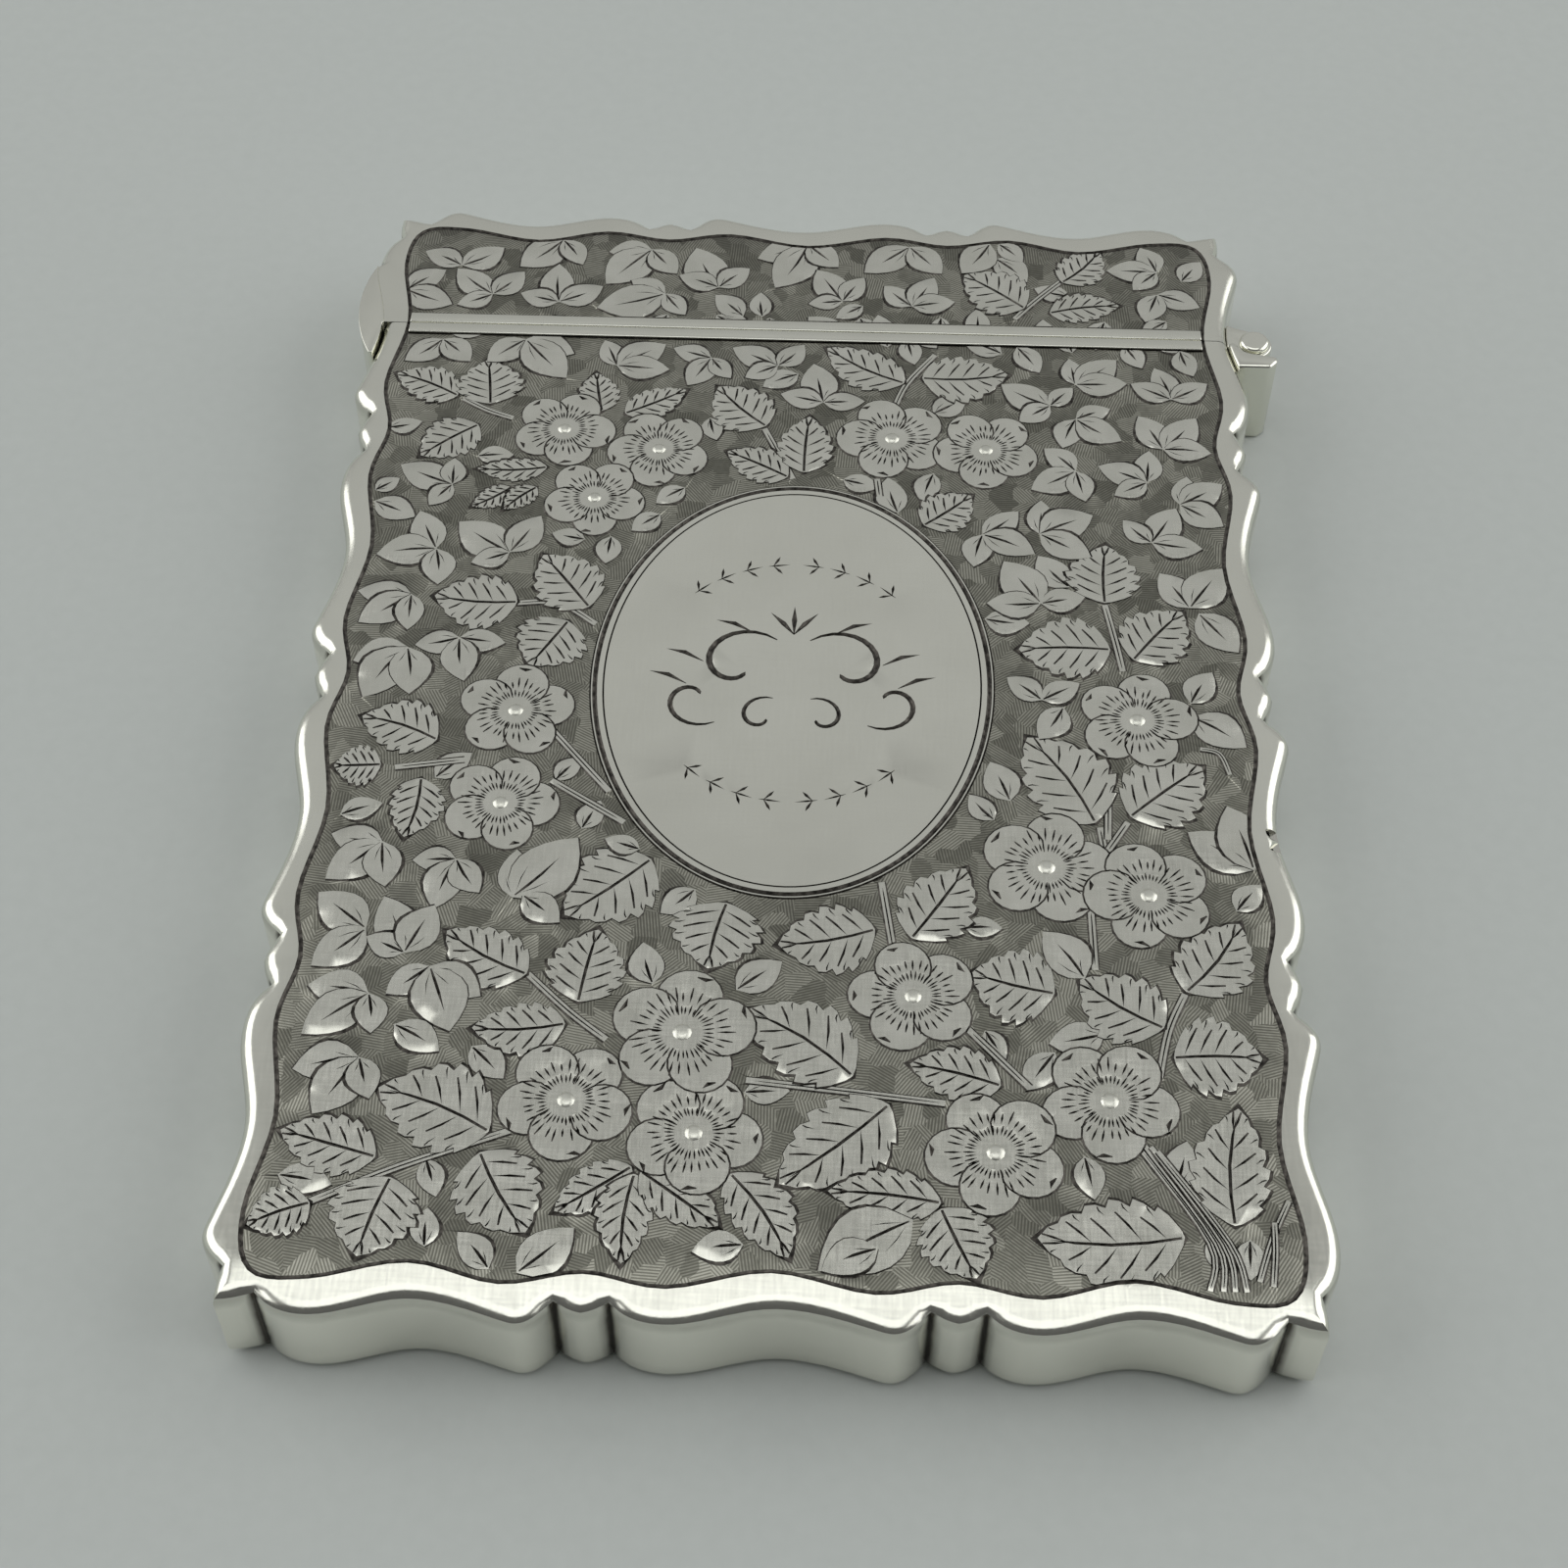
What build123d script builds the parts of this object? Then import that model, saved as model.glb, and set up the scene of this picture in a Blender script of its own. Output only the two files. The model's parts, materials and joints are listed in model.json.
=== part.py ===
"""Silver visiting-card case with a side-hinged lid. Millimetres, +Z up.

The case lies on its back: X runs across it, Y along it towards the lid, and the
engraved front faces +Z. The origin is the centre of the back face.
"""

import math
import os

from build123d import *

# Overall sizes
HALF_WIDTH = 34.4  # centre line to the crests of the long edges
HALF_LENGTH = 49.3  # centre line to the crests of the short edges
THICKNESS = 7.8
SEAM_Y = 35.8  # where the lid meets the body
SEAM_GAP = 0.06

# Sheet
PLATE = 0.5
STRIP = 0.6

# Wavy outline. Each edge is a row of bows between sharp flutes, which come in pairs.
FLUTE_DEPTH = 1.35
BOW_SAG = 1.2  # how far the middle of a bow falls back from its two crests
CREST_INSET = 3.2  # from a flute to the crest beside it
FLANK_ANGLE = 52.0  # of the outline as it leaves a flute
LOBE_HEIGHT = 0.75
LOBE_BULGE = 0.12  # of each side of a lobe, out of its chord
SIDE_PAIR = 24.1  # from the middle of a long edge to its outer pairs of flutes; one more pair is central
SIDE_PAIR_HALF = 1.95
END_PAIR = 11.25
END_PAIR_HALF = 1.65
CORNER_FLUTE_Y = 46.2  # last flute of the long edge
CORNER_FLUTE_X = 30.8  # last flute of the short edge
CORNER_LOBE = (33.2, 48.5)

# Mouth
MOUTH_STRIP_WIDTH = 1.05
MOUTH_STRIP_HALF = 31.1
MOUTH_STRIP_PROUD = 0.1
NECK_RISE = 2.6  # how far the neck stands out of the body into the lid
NECK_DEPTH = 3.0  # how far it reaches down inside the body
NECK_SHEET = 0.4
NECK_CLEARANCE = 0.12
NECK_HALF = 32.35
NECK_BEVEL = 0.15

# Hinge, upright through the thickness of the case, outside its right edge
PIN_X = 35.3
PIN_Y = 36.2
PIN_R = 0.7
PIN_CLEARANCE = 0.05
KNUCKLE_R = 1.4
KNUCKLE_END = 0.55  # from a face of the case to the end of the knuckles
MIDDLE_KNUCKLE_HALF = 1.35
KNUCKLE_GAP = 0.06
HEAD_R = 1.15
HEAD_HEIGHT = 0.4
HEAD_ROUND = 0.3
LUG_END = 0.35  # from a face of the case to the end of the lug
LUG_LIP_BEVEL = 0.6
LUG_CLEARANCE = 0.18
LUG_LIP_X = 36.9
LUG_UNDER_Y = 33.1
LUG_LIP_Y = 34.3
WING_TOP_Y = 38.7
WING_WAIST = (34.1, 38.0)

# Thumb piece on the free side of the lid
THUMB_CREST = (-35.3, 38.6)
THUMB_TOP = (-34.3, 42.6)
THUMB_TIP = (-34.0, 32.4)
THUMB_CLEARANCE = 0.12

# Catch spring, inside the free side
SPRING_WIDTH = 3.0
SPRING_SHEET = 0.25
SPRING_FOOT_Y = 22.0
SPRING_TOP_Y = 38.2
SPRING_NOSE_R = 0.55
SPRING_NOSE_HEIGHT = 0.55
SPRING_NOSE_ROUND = 0.35
SPRING_NOSE_Y = 37.2
SPRING_OFF_NECK = 0.05
SPRING_END_R = 1.2
NOSE_HOLE_R = 0.75
SEAT_LENGTH = 4.0
SEAT_WIDTH = 4.4

MID_Z = THICKNESS / 2
SIDE_FLUTE_X = HALF_WIDTH - FLUTE_DEPTH
END_FLUTE_Y = HALF_LENGTH - FLUTE_DEPTH
CAVITY_HALF = SIDE_FLUTE_X - STRIP
WIDER, LONGER = HALF_WIDTH * 3, HALF_LENGTH * 3  # of what trims the outline at the seam


def bow(start, end):
    """One wave of the outline, from flute to flute, with the outside on its right."""
    start, end = Vector(*start), Vector(*end)
    along = (end - start).normalized()
    out = Vector(along.Y, -along.X)
    length = (end - start).length
    flank = math.radians(FLANK_ANGLE)
    leave = along * math.cos(flank) + out * math.sin(flank)
    arrive = along * math.cos(flank) - out * math.sin(flank)
    crest = out * FLUTE_DEPTH
    Spline(
        start,
        start + along * CREST_INSET + crest,
        start + along * (length / 2) + crest - out * BOW_SAG,
        end - along * CREST_INSET + crest,
        end,
        tangents=[leave, arrive],
    )


def pointed(start, apex, end):
    """Two slightly bulging sides from flute to flute that meet at a point."""
    for a, b in ((Vector(*start), Vector(*apex)), (Vector(*apex), Vector(*end))):
        along = (b - a).normalized()
        out = Vector(along.Y, -along.X)
        ThreePointArc(a, (a + b) / 2 + out * LOBE_BULGE, b)


def lobe(start, end):
    """The small pointed lobe between the two flutes of a pair."""
    start, end = Vector(*start), Vector(*end)
    along = (end - start).normalized()
    out = Vector(along.Y, -along.X)
    apex = (start + end) / 2 + out * LOBE_HEIGHT
    pointed((start.X, start.Y), (apex.X, apex.Y), (end.X, end.Y))


def outline(inset=0.0):
    """The closed outline of the whole case, or the same waves that far inside it."""
    side_x = SIDE_FLUTE_X - inset
    end_y = END_FLUTE_Y - inset
    lobe_x, lobe_y = CORNER_LOBE[0] - inset, CORNER_LOBE[1] - inset
    end_pair = [END_PAIR - END_PAIR_HALF, END_PAIR + END_PAIR_HALF]
    side_pair = [SIDE_PAIR - SIDE_PAIR_HALF, SIDE_PAIR + SIDE_PAIR_HALF]
    across = end_pair + [CORNER_FLUTE_X]
    across = [-x for x in reversed(across)] + across
    up = [SIDE_PAIR_HALF] + side_pair + [CORNER_FLUTE_Y]
    up = [-y for y in reversed(up)] + up
    for turn in (1, -1):
        for i, (a, b) in enumerate(zip(across, across[1:])):
            stretch = lobe if i % 2 else bow
            stretch((turn * a, -turn * end_y), (turn * b, -turn * end_y))
        pointed(
            (turn * CORNER_FLUTE_X, -turn * end_y),
            (turn * lobe_x, -turn * lobe_y),
            (turn * side_x, -turn * CORNER_FLUTE_Y),
        )
        for i, (a, b) in enumerate(zip(up, up[1:])):
            stretch = lobe if i % 2 else bow
            stretch((turn * side_x, turn * a), (turn * side_x, turn * b))
        pointed(
            (turn * side_x, turn * CORNER_FLUTE_Y),
            (turn * lobe_x, turn * lobe_y),
            (turn * CORNER_FLUTE_X, turn * end_y),
        )


with BuildSketch() as case_shape:
    with BuildLine():
        outline()
    make_face()

with BuildSketch() as hollow_shape:
    with BuildLine():
        outline(STRIP)
    make_face()

with BuildSketch() as body_side_of_seam:
    with Locations((0, SEAM_Y - SEAM_GAP / 2)):
        Rectangle(WIDER, LONGER, align=(Align.CENTER, Align.MAX))

with BuildSketch() as lid_side_of_seam:
    with Locations((0, SEAM_Y + SEAM_GAP / 2)):
        Rectangle(WIDER, LONGER, align=(Align.CENTER, Align.MIN))

with BuildSketch() as body_mouth_shape:
    with Locations((0, SEAM_Y - SEAM_GAP / 2 - MOUTH_STRIP_WIDTH / 2)):
        Rectangle(MOUTH_STRIP_HALF * 2, MOUTH_STRIP_WIDTH)

with BuildSketch() as lid_mouth_shape:
    with Locations((0, SEAM_Y + SEAM_GAP / 2 + MOUTH_STRIP_WIDTH / 2)):
        Rectangle(MOUTH_STRIP_HALF * 2, MOUTH_STRIP_WIDTH)

SIDES_OF_SEAM = {
    "body": (body_side_of_seam, body_mouth_shape),
    "lid": (lid_side_of_seam, lid_mouth_shape),
}
FACES = {
    "back": (0.0, PLATE),
    "front": (THICKNESS - PLATE, PLATE + MOUTH_STRIP_PROUD),
}


def finish(piece, name):
    """Labels a finished piece and writes it."""
    piece.label = name
    export_step(piece, f"parts/{name}.step")


os.makedirs("parts", exist_ok=True)

# Front and back plates, side strips and mouth strips, for the body and for the lid
for half, (side_of_seam, mouth_shape) in SIDES_OF_SEAM.items():
    for face, (base_z, mouth_height) in FACES.items():
        with BuildPart() as plate:
            with BuildSketch(Plane.XY.offset(base_z)):
                add(case_shape.sketch)
                add(side_of_seam.sketch, mode=Mode.INTERSECT)
                add(mouth_shape.sketch, mode=Mode.SUBTRACT)
            extrude(amount=PLATE)
        finish(plate.part, f"{half}_{face}_plate")

        with BuildPart() as mouth_strip:
            with BuildSketch(Plane.XY.offset(base_z)):
                add(mouth_shape.sketch)
            extrude(amount=mouth_height)
        finish(mouth_strip.part, f"{half}_mouth_strip_{face}")

    with BuildPart() as side_strip:
        with BuildSketch(Plane.XY.offset(PLATE)):
            add(case_shape.sketch)
            add(hollow_shape.sketch, mode=Mode.SUBTRACT)
            add(side_of_seam.sketch, mode=Mode.INTERSECT)
        extrude(amount=THICKNESS - 2 * PLATE)
    finish(side_strip.part, f"{half}_side_strip")

# Neck: four strips round the inside of the body's mouth, which the lid closes over
NECK_TOP_Y = SEAM_Y + NECK_RISE
NECK_FOOT_Y = SEAM_Y - NECK_DEPTH
BODY_EDGE_Y = SEAM_Y - SEAM_GAP / 2
PLATE_INSIDE = MID_Z - PLATE
NECK_OUTSIDE = PLATE_INSIDE - NECK_CLEARANCE
NECK_INSIDE = NECK_OUTSIDE - NECK_SHEET

for face, up in (("front", 1), ("back", -1)):
    with BuildPart() as neck_strip:
        with BuildSketch(Plane.YZ.offset(-NECK_HALF)):
            with BuildLine():
                Polyline(
                    (NECK_FOOT_Y, MID_Z + up * NECK_INSIDE),
                    (NECK_TOP_Y, MID_Z + up * NECK_INSIDE),
                    (NECK_TOP_Y, MID_Z + up * (NECK_OUTSIDE - NECK_BEVEL)),
                    (NECK_TOP_Y - NECK_BEVEL, MID_Z + up * NECK_OUTSIDE),
                    (BODY_EDGE_Y, MID_Z + up * NECK_OUTSIDE),
                    (BODY_EDGE_Y, MID_Z + up * PLATE_INSIDE),
                    (NECK_FOOT_Y, MID_Z + up * PLATE_INSIDE),
                    close=True,
                )
            make_face()
        extrude(amount=2 * NECK_HALF)
    finish(neck_strip.part, f"neck_strip_{face}")

for side, out in (("hinge_side", 1), ("free_side", -1)):
    with BuildPart() as neck_strip:
        with BuildSketch(Plane.XY.offset(MID_Z - NECK_INSIDE)):
            with Locations((out * (NECK_HALF - NECK_SHEET / 2), (NECK_FOOT_Y + NECK_TOP_Y) / 2)):
                Rectangle(NECK_SHEET, NECK_TOP_Y - NECK_FOOT_Y)
        extrude(amount=2 * NECK_INSIDE)
        if side == "free_side":
            with BuildSketch(Plane.YZ.offset(-NECK_HALF)):
                with Locations((SPRING_NOSE_Y, MID_Z)):
                    Circle(NOSE_HOLE_R)
            extrude(amount=NECK_SHEET, mode=Mode.SUBTRACT)
    finish(neck_strip.part, f"neck_strip_{side}")

# Catch spring: a leaf inside the free side, whose nose looks out through the neck
SPRING_OUTSIDE_X = -(NECK_HALF - NECK_SHEET) + SPRING_OFF_NECK

with BuildPart() as catch_spring:
    with BuildSketch(Plane.YZ.offset(SPRING_OUTSIDE_X)):
        with Locations(((SPRING_FOOT_Y + SPRING_TOP_Y) / 2, MID_Z)):
            RectangleRounded(SPRING_TOP_Y - SPRING_FOOT_Y, SPRING_WIDTH, SPRING_END_R)
    extrude(amount=SPRING_SHEET)
    with BuildSketch(Plane.YZ.offset(SPRING_OUTSIDE_X)):
        with Locations((SPRING_NOSE_Y, MID_Z)):
            Circle(SPRING_NOSE_R)
    extrude(amount=-SPRING_NOSE_HEIGHT)
    nose_tip = catch_spring.faces().sort_by(Axis.X)[0]
    fillet(nose_tip.edges(), SPRING_NOSE_ROUND)
finish(catch_spring.part, "catch_spring")

with BuildPart() as spring_seat:
    with BuildSketch(Plane.YZ.offset(-CAVITY_HALF)):
        with Locations((SPRING_FOOT_Y + SEAT_LENGTH / 2, MID_Z)):
            Rectangle(SEAT_LENGTH, SEAT_WIDTH)
    extrude(amount=SPRING_OUTSIDE_X + CAVITY_HALF)
finish(spring_seat.part, "catch_spring_seat")

# Thumb piece: a crescent on the free side of the lid, whose tip overlaps the body
with BuildSketch() as body_shape:
    add(case_shape.sketch)
    add(body_side_of_seam.sketch, mode=Mode.INTERSECT)

clear_of_body = Pos(-THUMB_CLEARANCE, 0) * body_shape.sketch

with BuildPart() as thumb_piece:
    with BuildSketch():
        with BuildLine():
            ThreePointArc(THUMB_TOP, THUMB_CREST, THUMB_TIP)
            Polyline(THUMB_TIP, (-CAVITY_HALF, THUMB_TIP[1]), (-CAVITY_HALF, THUMB_TOP[1]), THUMB_TOP)
        make_face()
        add(case_shape.sketch, mode=Mode.SUBTRACT)
        add(clear_of_body, mode=Mode.SUBTRACT)
    extrude(amount=THICKNESS)
finish(thumb_piece.part, "lid_thumb_piece")

# Hinge: the body's lug and middle knuckle, the lid's two knuckles and the pin
LUG_BORE_R = KNUCKLE_R + LUG_CLEARANCE
LID_EDGE_Y = SEAM_Y + SEAM_GAP / 2

with BuildPart() as hinge_lug:
    with BuildSketch(Plane.XY.offset(LUG_END)):
        with BuildLine():
            Polyline(
                (CAVITY_HALF, BODY_EDGE_Y),
                (CAVITY_HALF, LUG_UNDER_Y),
                (LUG_LIP_X - LUG_LIP_BEVEL, LUG_UNDER_Y),
                (LUG_LIP_X, LUG_UNDER_Y + LUG_LIP_BEVEL),
                (LUG_LIP_X, LUG_LIP_Y),
                (PIN_X, PIN_Y - LUG_BORE_R),
                (PIN_X, BODY_EDGE_Y),
                close=True,
            )
        make_face()
        with Locations((PIN_X, PIN_Y)):
            Circle(LUG_BORE_R, mode=Mode.SUBTRACT)
        add(case_shape.sketch, mode=Mode.SUBTRACT)
    extrude(amount=THICKNESS - 2 * LUG_END)
finish(hinge_lug.part, "hinge_lug")

with BuildPart() as middle_knuckle:
    with BuildSketch(Plane.XY.offset(MID_Z - MIDDLE_KNUCKLE_HALF)):
        with Locations((PIN_X, PIN_Y)):
            Circle(LUG_BORE_R)
            Rectangle(LUG_BORE_R, LUG_BORE_R, align=(Align.MAX, Align.MAX), mode=Mode.INTERSECT)
            Circle(KNUCKLE_R)
            Circle(PIN_R, mode=Mode.SUBTRACT)
    extrude(amount=2 * MIDDLE_KNUCKLE_HALF)
finish(middle_knuckle.part, "hinge_middle_knuckle")

LID_KNUCKLE_LOW = MIDDLE_KNUCKLE_HALF + KNUCKLE_GAP
LID_KNUCKLE_HIGH = MID_Z - KNUCKLE_END - KNUCKLE_GAP

for face, base_z in (("front", MID_Z + LID_KNUCKLE_LOW), ("back", MID_Z - LID_KNUCKLE_HIGH)):
    with BuildPart() as lid_knuckle:
        with BuildSketch(Plane.XY.offset(base_z)):
            with BuildLine():
                Polyline(
                    (CAVITY_HALF, LID_EDGE_Y),
                    (PIN_X, LID_EDGE_Y),
                    (PIN_X, PIN_Y + KNUCKLE_R),
                    WING_WAIST,
                    (CAVITY_HALF, WING_TOP_Y),
                    close=True,
                )
            make_face()
            with Locations((PIN_X, PIN_Y)):
                Circle(KNUCKLE_R)
                Circle(PIN_R + PIN_CLEARANCE, mode=Mode.SUBTRACT)
            add(case_shape.sketch, mode=Mode.SUBTRACT)
        extrude(amount=LID_KNUCKLE_HIGH - LID_KNUCKLE_LOW)
    finish(lid_knuckle.part, f"lid_knuckle_{face}")

PIN_HALF = MID_Z - KNUCKLE_END

with BuildPart() as hinge_pin:
    with BuildSketch(Plane.XY.offset(MID_Z - PIN_HALF)):
        with Locations((PIN_X, PIN_Y)):
            Circle(PIN_R)
    extrude(amount=2 * PIN_HALF)
    for base_z in (MID_Z + PIN_HALF, MID_Z - PIN_HALF - HEAD_HEIGHT):
        with BuildSketch(Plane.XY.offset(base_z)):
            with Locations((PIN_X, PIN_Y)):
                Circle(HEAD_R)
        extrude(amount=HEAD_HEIGHT)
    rims = hinge_pin.edges().filter_by(GeomType.CIRCLE).sort_by(Axis.Z)
    fillet([rims[0], rims[-1]], HEAD_ROUND)
finish(hinge_pin.part, "hinge_pin")
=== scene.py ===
"""Looks of the silver card case: engraved plates, polished rim, fluted sides, floor, light and camera.

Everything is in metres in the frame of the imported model. The engraving is drawn in millimetres
in the plane of the front plate and scaled by MM when its mesh is made.
"""

import json
import math
import random

import bmesh
import bpy
import numpy as np
from mathutils import Matrix, Vector
from mathutils.geometry import delaunay_2d_cdt


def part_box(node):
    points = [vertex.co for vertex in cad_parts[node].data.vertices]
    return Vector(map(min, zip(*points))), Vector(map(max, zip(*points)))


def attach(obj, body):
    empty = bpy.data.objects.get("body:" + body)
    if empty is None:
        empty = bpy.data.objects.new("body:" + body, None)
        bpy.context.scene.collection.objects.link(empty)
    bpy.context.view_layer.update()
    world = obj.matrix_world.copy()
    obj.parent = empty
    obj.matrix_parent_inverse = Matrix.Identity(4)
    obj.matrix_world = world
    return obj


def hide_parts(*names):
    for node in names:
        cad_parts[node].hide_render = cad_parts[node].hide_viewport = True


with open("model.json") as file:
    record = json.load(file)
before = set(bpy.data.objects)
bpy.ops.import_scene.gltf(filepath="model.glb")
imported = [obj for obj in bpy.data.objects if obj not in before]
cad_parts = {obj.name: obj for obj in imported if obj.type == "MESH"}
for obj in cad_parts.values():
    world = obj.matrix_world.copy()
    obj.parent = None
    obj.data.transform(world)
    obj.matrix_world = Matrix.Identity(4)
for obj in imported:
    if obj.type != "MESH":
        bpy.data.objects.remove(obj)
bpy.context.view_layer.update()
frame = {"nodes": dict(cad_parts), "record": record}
NODES = frame["nodes"]

MM = 0.001
TINY = 1e-6  # metres: points this close together are the same point

# ---------------------------------------------------------------- engraving, in millimetres

# Heights over the face of the plate of each kind of surface, and the bottom of a cut
LEVELS = {"rim": 0.0, "leaf": 0.0, "ground": -0.07, "boss_foot": 0.0, "boss_side": 0.09, "boss_top": 0.14}
CUT_BOTTOM = -0.12
FINISHES = ["rim", "leaf", "ground", "cut", "boss"]  # order of the material slots of a plate

# Border line, which follows the wavy outline well inside it
SIDE_PAIRS = (-24.1, 0.0, 24.1)  # middles of the pairs of flutes along the long edges
END_PAIRS = (-11.25, 11.25)
PAIR_TO_CREST = 5.0
SIDE_TROUGH, SIDE_CREST = 36.0, 42.6  # outermost ones along a long edge
END_TROUGH, END_CREST = 21.8, 27.6  # and along a short one
SIDE_BORDER = {"pair": 31.3, "crest": 32.15, "trough": 31.15}  # |x| of the border line
END_BORDER = {"pair": 46.1, "crest": 46.9, "trough": 45.7}  # |y| of the border line
BORDER_CORNER = (31.2, 46.5)
BORDER_WIDTH = 0.3

# Oval medallion
OVAL_CENTRE = (0.0, 0.3)
OVAL = (14.2, 18.8)
OVAL_STEPS = 120
OVAL_LINES = ((0.0, 0.12), (0.32, 0.34), (0.92, 0.12))  # distance inside the oval, width of the line

# Flowers: centre and radius
FLOWERS = [
    (-18, 24.5, 3.9), (-10.7, 22.6, 3.9), (-15.2, 17.4, 3.8), (6.9, 24.3, 4.2), (14, 23.3, 4.0),
    (-19.2, -3.1, 4.1), (-19.5, -11.2, 4.0), (24.1, -2.6, 4.2), (17.4, -15.4, 4.5), (24.1, -17.5, 4.3),
    (-13.2, -34.3, 4.3), (-5.1, -36.4, 4.3), (-6.2, -29.1, 4.7), (8.5, -25.9, 4.2), (20.8, -33.3, 4.4),
    (13.6, -37.2, 4.4),
]

# Sprays of plain leaves: the point where they meet, and the tips
SPRAYS = [
    ((-27.7, 42.6), [(-30.8, 44.2), (-24.5, 44.8)]),
    ((-24.9, 39.3), [(-28, 42.2), (-22.6, 42), (-27.6, 38)]),
    ((-31.8, 39.6), [(-28.9, 42), (-28, 38)]),
    ((-19.6, 38.6), [(-19.9, 43), (-22.7, 39.5), (-16.2, 40.5)]),
    ((-19.8, 45.9), [(-23, 42.6), (-18, 43)]),
    ((-12.6, 45), [(-16, 44.6), (-16, 40.8), (-10.4, 42.2)]),
    ((-7, 40.7), [(-9, 45.3), (-10.2, 42), (-4.6, 43)]),
    ((-11.2, 39.8), [(-14, 41.3), (-16.5, 38), (-9.5, 37.4)]),
    ((-4.9, 37.4), [(-7.2, 39.8)]),
    ((-3.4, 37.4), [(-3.6, 40.2)]),
    ((0, 46), [(-4, 44.2), (-2.5, 40.8), (2.5, 43.4)]),
    ((2.9, 39.4), [(0.8, 43), (4.6, 42.2), (0.2, 39)]),
    ((8.2, 46), [(4.6, 42.8), (10.8, 42.9)]),
    ((8.4, 39), [(6.2, 41.3), (10.2, 42.4), (11.8, 39.6)]),
    ((14.7, 46.6), [(12.4, 43)]),
    ((15.4, 46.6), [(17.3, 44.5)]),
    ((28, 43.6), [(26.8, 46.5), (24, 43.7), (26, 41.5)]),
    ((27.9, 41), [(31.2, 39.6), (26.8, 37.8)]),
    ((29.9, 42.6), [(31.6, 45)]),
    ((-28.3, 34), [(-31, 31.5), (-25.9, 31.6)]),
    ((-21.8, 34.2), [(-24.6, 31.6), (-17.9, 32.7), (-18.3, 30)]),
    ((-14.5, 31.5), [(-15.6, 34.3), (-10.8, 34), (-10.4, 31.2)]),
    ((-7.2, 32.6), [(-10.2, 33.6), (-8.9, 29.5), (-5.6, 30.4)]),
    ((-2, 31.9), [(-5.6, 33.8), (0, 34.3), (-4.5, 30.5)]),
    ((1.6, 28), [(0.8, 32.2), (4.8, 28.2), (-1.7, 28.8)]),
    ((-31.4, 24.2), [(-28.9, 24.9)]),
    ((-25.9, 18.4), [(-30, 20.3), (-26, 21.1), (-27.4, 16.2)]),
    ((-31.6, 17.6), [(-29.9, 18.9)]),
    ((-31.5, 16.5), [(-28.3, 15)]),
    ((16.6, 34.6), [(18.3, 31.8)]),
    ((21, 30.6), [(20.6, 33.4), (24.3, 33.4), (25, 30.8)]),
    ((19, 28.2), [(15.3, 30.4), (20.8, 30.2), (16.6, 26.4)]),
    ((20.9, 26.8), [(23.6, 28), (19.8, 23.7), (24.3, 24.6)]),
    ((28.3, 29.2), [(27.2, 32.6), (25.3, 30.8), (31.2, 31)]),
    ((29.3, 34.6), [(30.2, 31.8)]),
    ((27.4, 23.8), [(25.7, 27.3), (30.1, 27.2), (31, 23.5)]),
    ((26, 20.3), [(26.3, 23.6), (22.4, 21.9), (23.5, 18.9)]),
    ((20.7, 21.3), [(18.4, 23.6), (17.3, 19.3), (21.3, 18.2)]),
    ((28.3, 18.1), [(29, 21), (31.6, 20.3), (31.4, 16)]),
    ((26, 14.2), [(28, 17.7), (24, 16.4), (29.7, 13.7)]),
    ((17.8, 14.8), [(18, 18.2), (21.8, 16.8), (21.5, 12.6)]),
    ((13.6, 14.6), [(16.3, 17), (12.9, 11.4), (17.4, 12.8)]),
    ((-26.4, 11.9), [(-28, 15.6), (-30.7, 11.2), (-25.9, 8.4)]),
    ((-21, 11.7), [(-25, 14.6), (-19, 15.4), (-23.7, 10.6)]),
    ((-27.7, 7.4), [(-31.6, 7.6), (-31.2, 4.6), (-27.6, 4)]),
    ((-23.8, 3.4), [(-26.9, 2.6), (-20.5, 3), (-23.1, -0.6)]),
    ((-27.4, 2.4), [(-31.1, 1), (-30, -2.3), (-26.8, -1.9)]),
    ((-27.1, -14.7), [(-30.6, -14.2), (-30.5, -17.9), (-26.5, -18.4)]),
    ((-22, -16), [(-24.9, -16.2), (-23.1, -20.1), (-20.2, -18.7)]),
    ((-18, -19), [(-18, -15.1), (-14, -14)]),
    ((-17.3, -18.8), [(-14.7, -20.9)]),
    ((-9.8, -14.8), [(-12.2, -14)]),
    ((-27.3, -21.8), [(-30.8, -19), (-30.5, -24.8)]),
    ((-24.6, -23.6), [(-26.4, -19.2), (-27.2, -22.4), (-23, -19.8)]),
    ((-26.5, -26.8), [(-30.5, -26.3), (-30.4, -30), (-26, -29.8)]),
    ((-22.8, -24.6), [(-25.4, -26.8), (-19.3, -26.8), (-21, -29.5)]),
    ((-24.6, -29.1), [(-21.5, -31)]),
    ((-26.5, -31.6), [(-30.6, -32.6), (-28.9, -35.8), (-25.5, -34.6)]),
    ((-8.3, -25.5), [(-9.1, -22.3)]),
    ((-2.9, -25.8), [(0, -23.5)]),
    ((-16.9, -46.1), [(-19, -43.7)]),
    ((-15.2, -46.3), [(-12, -43.2)]),
    ((17.7, 8), [(15.1, 12), (13.8, 7.9), (20.9, 8.7)]),
    ((28.4, 7.9), [(26.4, 11.2), (31, 11.8)]),
    ((29, 7.4), [(31.6, 3.8)]),
    ((17.5, -1), [(15.1, 1), (20.2, 0.6)]),
    ((19, -1.6), [(17.2, -4.5)]),
    ((27.9, -1), [(29.6, 1.9)]),
    ((27.9, -2.2), [(31.5, -4.8)]),
    ((31.2, -15.2), [(27, -12.2), (29.8, -9.9)]),
    ((29.8, -18.6), [(31.6, -16.4)]),
    ((19.6, -24.2), [(17, -20.6)]),
    ((8.5, -42), [(2.8, -45.6)]),
    ((6.4, -44), [(3, -45.6)]),
]

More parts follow.
